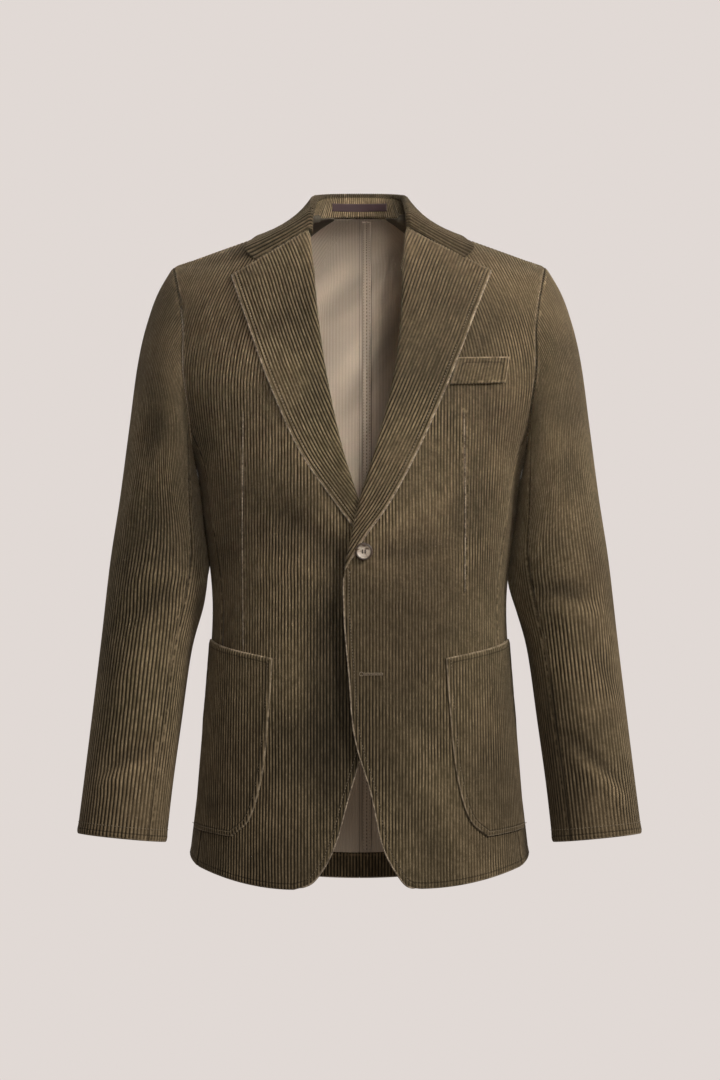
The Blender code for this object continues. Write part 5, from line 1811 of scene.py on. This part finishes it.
def make_seam_cords():
    """Dark cords deep in the long seams for their turnings, dark as painted shade, so that no light shows
    through them.
    """
    z = np.linspace(HEM_SIDE_Z + 0.003, ARMHOLE_TOP_Z - 0.0005, 240)
    for side, word in SIDES:
        for facing, node_name in ((-1, "front_" + word), (1, "back_" + word)):
            line = border_line(side_border(facing), z, facing, side)
            bead(node_name + "_seam", line, outward(line), SEAM_CORD, "dark_thread", -SEAM_DEPTH)
    middle_z = np.linspace(HEM_BACK_Z + 0.003, BACK_NECK_Z - 0.002, 200)
    middle = back_inside(np.zeros(200), middle_z, SEAM_DEPTH)
    bead("back_left_middle_seam", middle, np.tile([0.0, 1.0, 0.0], (200, 1)), SEAM_CORD, "dark_thread")


def make_worn_edges():
    """Thin rubbed beads along the turned edges, the darts and the front of each armhole."""
    for side, word, edge_table, lapel in ((1, "left", OVER_FRONT_EDGE, OVER_LAPEL),
                                          (-1, "right", UNDER_FRONT_EDGE, UNDER_LAPEL)):
        edge = through(edge_table, np.linspace(0.01, ROLL_SHARE - 0.01, BORDER_STEPS))
        line = front_line(edge[:, 0], edge[:, 1], side)
        bead("front_%s_edge" % word, line, normals_on_front(line, side), EDGE_RADIUS, "worn_edge", 0.0004)
        at = np.linspace(0.04, 0.995, BORDER_STEPS)
        line = lapel_flat(lapel, np.full(BORDER_STEPS, 0.0002), at, side)
        bead("lapel_%s_edge" % word, line, normals_on_front(line, side), LAPEL_EDGE_RADIUS,
             "worn_edge", -0.0002)
        angle = np.radians(np.linspace(-12.0, FRONT_SEAM_ANGLE + 4.0, 120))
        x, y, z = armhole(angle)
        line = np.stack([side * (x - 0.0016), y, z], axis=1)
        normals = np.stack([np.full(120, side * 0.25), np.sin(angle), np.cos(angle) * 0.35], axis=1)
        normals /= np.linalg.norm(normals, axis=1, keepdims=True)
        bead("upper_sleeve_%s_seam" % word, line, normals, 0.0008, "worn_edge", 0.0004)
    for side, word, darts in ((1, "left", OVER_DARTS), (-1, "right", UNDER_DARTS)):
        for dart in darts:
            line, normals = along_front(side, dart)
            bead("front_%s_dart" % word, line, normals, 0.0007, "worn_edge", 0.0007)


def make_stitching():
    """The rows of stitches inside the turned edges, pockets and cuffs."""
    stitches("front_left_stitches", [front_edge_rows(OVER_FRONT_EDGE, 1, HEM_CORNER, ROLL_SHARE)])
    stitches("front_right_stitches", [front_edge_rows(UNDER_FRONT_EDGE, -1, HEM_CORNER, ROLL_SHARE)])
    stitches("lapel_left_stitches", [lapel_edge_rows(OVER_LAPEL, 1)])
    stitches("lapel_right_stitches", [lapel_edge_rows(UNDER_LAPEL, -1)])
    for side, word in SIDES:
        stitches("patch_pocket_%s_stitches" % word, [pocket_rows(side)])
        stitches("upper_sleeve_%s_stitches" % word, cuff_rows(side))


# ---------------------------------------------------------------- the whole jacket
# Each crease's lift is also painted into the cloth's colour: painted shade in its trough and painted light
# along its ridge.
OVER_FRONT_CREASES = (
    # from (x, z), to (x, z), width, rise
    ((0.018, -0.345), (0.105, -0.292), 0.013, 0.0026),
    ((0.020, -0.368), (0.120, -0.345), 0.012, -0.0022),
    ((0.022, -0.385), (0.095, -0.420), 0.013, 0.0022),
    ((0.030, -0.540), (0.085, -0.620), 0.022, 0.0025),
    ((0.120, -0.120), (0.150, -0.235), 0.016, -0.0022),
    ((0.150, -0.250), (0.166, -0.330), 0.012, 0.0022),
    ((0.060, -0.640), (0.095, -0.725), 0.020, -0.0026),
)
UNDER_FRONT_CREASES = (
    ((0.020, -0.340), (0.098, -0.262), 0.014, 0.0030),
    ((0.012, -0.362), (0.110, -0.305), 0.013, -0.0026),
    ((0.020, -0.395), (0.110, -0.372), 0.014, 0.0024),
    ((0.060, -0.130), (0.125, -0.215), 0.018, -0.0024),
    # This deep trough is mostly painted shade: its lift darkens the under front by about half beside the
    # over front's edge.
    ((0.030, -0.372), (0.040, -0.660), 0.024, -0.0064),
    ((0.088, -0.400), (0.090, -0.560), 0.022, 0.0026),
    ((0.028, -0.322), (0.085, -0.228), 0.009, 0.0026),
    ((0.150, -0.560), (0.155, -0.420), 0.016, -0.0024),
    ((0.150, -0.235), (0.165, -0.345), 0.012, 0.0024),
    ((0.105, -0.650), (0.085, -0.722), 0.018, 0.0026),
)
OVER_LAPEL_CREASES = (
    ((0.060, -0.110), (0.120, -0.126), 0.008, 0.0016),
    ((0.070, -0.078), (0.130, -0.096), 0.009, -0.0016),
)
UNDER_LAPEL_CREASES = (
    ((0.064, -0.098), (0.110, -0.116), 0.010, -0.0020),
    ((0.060, -0.150), (0.090, -0.158), 0.008, 0.0014),
)
BACK_CREASES = (
    ((0.052, -0.016), (-0.042, -0.100), 0.0095, 0.0066),
    ((0.060, -0.050), (-0.022, -0.165), 0.0100, -0.0064),
    ((0.050, -0.105), (-0.018, -0.205), 0.0095, 0.0060),
    ((-0.010, -0.032), (-0.056, -0.078), 0.0090, -0.0050),
    ((-0.030, -0.110), (-0.075, -0.210), 0.014, 0.0034),
    ((-0.060, -0.300), (-0.020, -0.420), 0.020, 0.0036),
    ((0.070, -0.260), (0.030, -0.440), 0.020, -0.0036),
    ((0.100, -0.330), (0.050, -0.390), 0.014, 0.0030),
    ((0.090, -0.600), (0.060, -0.720), 0.022, 0.0034),
    ((-0.100, -0.560), (-0.070, -0.700), 0.022, 0.0032),
    ((-0.120, -0.180), (-0.080, -0.300), 0.016, -0.0030),
)
OVER_DARTS = (((0.1150, -0.205), (0.1165, -0.300), (0.1160, -0.405)),)
UNDER_DARTS = (((0.1280, -0.205), (0.1290, -0.330), (0.1280, -0.470)),)
LEFT_SLEEVE_CREASES = (
    # from (angle, along), to (angle, along), width, rise
    ((-112, 0.83), (-55, 0.90), 0.0085, -0.0042),
    ((-110, 0.86), (-48, 0.935), 0.0080, 0.0040),
    ((-100, 0.79), (-60, 0.80), 0.0075, 0.0026),
    ((-118, 0.56), (-60, 0.62), 0.012, -0.0040),
    ((-115, 0.61), (-50, 0.655), 0.012, 0.0036),
    ((-95, 0.30), (-50, 0.42), 0.016, -0.0030),
    ((-100, 0.16), (-75, 0.36), 0.014, 0.0030),
    ((-70, 0.70), (-30, 0.76), 0.012, -0.0026),
    ((115, 0.50), (60, 0.60), 0.013, -0.0036),
    ((112, 0.58), (50, 0.66), 0.013, 0.0034),
    ((170, 0.45), (200, 0.60), 0.012, 0.0028),
    ((60, 0.80), (110, 0.90), 0.011, 0.0030),
)
RIGHT_SLEEVE_CREASES = (
    ((-116, 0.84), (-60, 0.885), 0.0080, -0.0040),
    ((-112, 0.875), (-52, 0.915), 0.0080, 0.0036),
    ((-115, 0.52), (-62, 0.60), 0.013, 0.0038),
    ((-110, 0.58), (-55, 0.67), 0.013, -0.0042),
    ((-100, 0.70), (-60, 0.76), 0.011, 0.0030),
    ((-92, 0.22), (-50, 0.36), 0.016, -0.0034),
    ((-105, 0.14), (-80, 0.40), 0.014, 0.0034),
    ((-60, 0.42), (-35, 0.50), 0.014, 0.0026),
    ((115, 0.48), (58, 0.58), 0.013, 0.0036),
    ((110, 0.56), (52, 0.68), 0.013, -0.0034),
    ((175, 0.48), (205, 0.62), 0.012, -0.0028),
    ((58, 0.82), (112, 0.88), 0.011, -0.0030),
)

make_front("front_left_cloth", OVER_FRONT_EDGE, 1, OVER_FRONT_CREASES, OVER_DARTS)
make_front("front_right_cloth", UNDER_FRONT_EDGE, -1, UNDER_FRONT_CREASES, UNDER_DARTS)
make_lapel("lapel_left_cloth", OVER_LAPEL, 1, OVER_LAPEL_CREASES)
make_lapel("lapel_right_cloth", UNDER_LAPEL, -1, UNDER_LAPEL_CREASES)
for side, word in ((1, "left"), (-1, "right")):
    make_back("back_%s_cloth" % word, side, BACK_CREASES)
    make_side("side_%s_cloth" % word, side)
    make_sleeve(side, word, LEFT_SLEEVE_CREASES if side > 0 else RIGHT_SLEEVE_CREASES)
    make_pocket("patch_pocket_%s_cloth" % word, side)
    make_neck_facing("neck_facing_%s_cloth" % word, side, 0.0305 if side > 0 else 0.0285)
make_collar_fall()
make_collar_stand()
make_welt()
make_label()
make_binding()
make_hem_facing()
make_stitching()
make_worn_edges()
make_seam_cords()
over_face = float(front_y(np.array(BUTTON_X), np.array(UPPER_BUTTON_Z), 1))
under_face = float(front_y(np.array(BUTTON_X), np.array(LOWER_BUTTON_Z), -1))
make_button("button_upper_horn", BUTTON_X, UPPER_BUTTON_Z, over_face - SEAM_GAP, BUTTON_SHANK)
make_button_thread("button_upper_thread", BUTTON_X, UPPER_BUTTON_Z, over_face - SEAM_GAP, BUTTON_SHANK)
make_button("button_lower_horn", BUTTON_X, LOWER_BUTTON_Z, under_face - SEAM_GAP, LOWER_SHANK)
make_buttonhole("front_left_buttonhole", 0.0020, LOWER_BUTTON_Z, 1, 0.0235)

STANDS_FOR = {node_name: node_name + "_cloth" for node_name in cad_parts}
STANDS_FOR["button_upper"] = "button_upper_horn"
STANDS_FOR["button_lower"] = "button_lower_horn"
for node_name, piece_name in STANDS_FOR.items():
    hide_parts(node_name)


# ---------------------------------------------------------------- light, backdrop and camera
BACKDROP = (0.752, 0.694, 0.665)
VIEW_HEIGHT = 1.2042
VIEW_CENTRE = (0.0006, -0.3468)
VIEW_DISTANCE = 9.0
SENSOR = 36.0
WORLD_LIGHT = 0.16


def flat_plane(name, size, location, rotation, material):
    """A square plane of backdrop, which isn't part of the jacket."""
    data = bpy.data.meshes.new(name)
    half = size / 2
    data.from_pydata([(-half, -half, 0), (half, -half, 0), (half, half, 0), (-half, half, 0)], [],
                     [(0, 1, 2, 3)])
    data.materials.append(material)
    plane = bpy.data.objects.new(name, data)
    plane.location = location
    plane.rotation_euler = rotation
    bpy.context.scene.collection.objects.link(plane)
    return plane


def area_light(name, size, power, location, colour, aim=(0.0, 0.0, -0.33)):
    data = bpy.data.lights.new(name, "AREA")
    data.size = size
    data.energy = power
    data.color = colour
    light = bpy.data.objects.new(name, data)
    light.location = location
    light.rotation_euler = (Vector(aim) - Vector(location)).to_track_quat("-Z", "Y").to_euler()
    bpy.context.scene.collection.objects.link(light)
    return light


def backdrop_paper():
    """Pale paper that glows evenly, and is clear when it is looked at from behind."""
    paper = bpy.data.materials.new("backdrop_paper")
    paper.use_nodes = True
    tree = paper.node_tree
    tree.nodes.clear()
    glow, one_sided = node(tree, "ShaderNodeEmission"), node(tree, "ShaderNodeMixShader")
    feed(tree, glow.inputs["Color"], BACKDROP)
    for place, source in enumerate((node(tree, "ShaderNodeNewGeometry").outputs["Backfacing"],
                                    glow.outputs[0], node(tree, "ShaderNodeBsdfTransparent").outputs[0])):
        feed(tree, one_sided.inputs[place], source)
    feed(tree, node(tree, "ShaderNodeOutputMaterial").inputs["Surface"], one_sided.outputs[0])
    return paper


def studio_world():
    """Surroundings as pale as the paper to the viewer, and much dimmer as light."""
    world = bpy.data.worlds.new("studio")
    world.use_nodes = True
    tree = world.node_tree
    surround = tree.nodes["Background"]
    feed(tree, surround.inputs["Color"], BACKDROP)
    seen = Signal(tree, node(tree, "ShaderNodeLightPath").outputs["Is Camera Ray"])
    feed(tree, surround.inputs["Strength"], seen * (1.0 - WORLD_LIGHT) + WORLD_LIGHT)
    return world


flat_plane("backdrop", 14.0, (0.0, 3.0, 0.0), (math.radians(90), 0.0, 0.0), backdrop_paper())
scene = bpy.context.scene
scene.world = studio_world()
area_light("key", 1.1, 152.0, (3.3, -2.6, 1.9), (1.0, 0.955, 0.90))
area_light("front", 0.9, 39.0, (0.5, -4.6, 0.75), (1.0, 0.97, 0.93))
area_light("top", 1.6, 14.0, (0.3, -1.2, 3.0), (1.0, 0.98, 0.95))
pool = area_light("chest", 0.4, 0.36, (0.52, -3.6, 0.90), (1.0, 0.965, 0.92), (0.012, 0.0, -0.10))
pool.data.spread = math.radians(11)

camera_data = bpy.data.cameras.new("camera")
camera_data.sensor_fit = "VERTICAL"
camera_data.sensor_height = SENSOR
camera_data.sensor_width = SENSOR
camera_data.lens = SENSOR * VIEW_DISTANCE / VIEW_HEIGHT
camera_data.clip_end = 40.0
camera = bpy.data.objects.new("camera", camera_data)
camera.location = (VIEW_CENTRE[0], -VIEW_DISTANCE, VIEW_CENTRE[1])
camera.rotation_euler = (math.radians(90), 0.0, 0.0)
scene.collection.objects.link(camera)
scene.camera = camera
scene.view_settings.view_transform = "Standard"
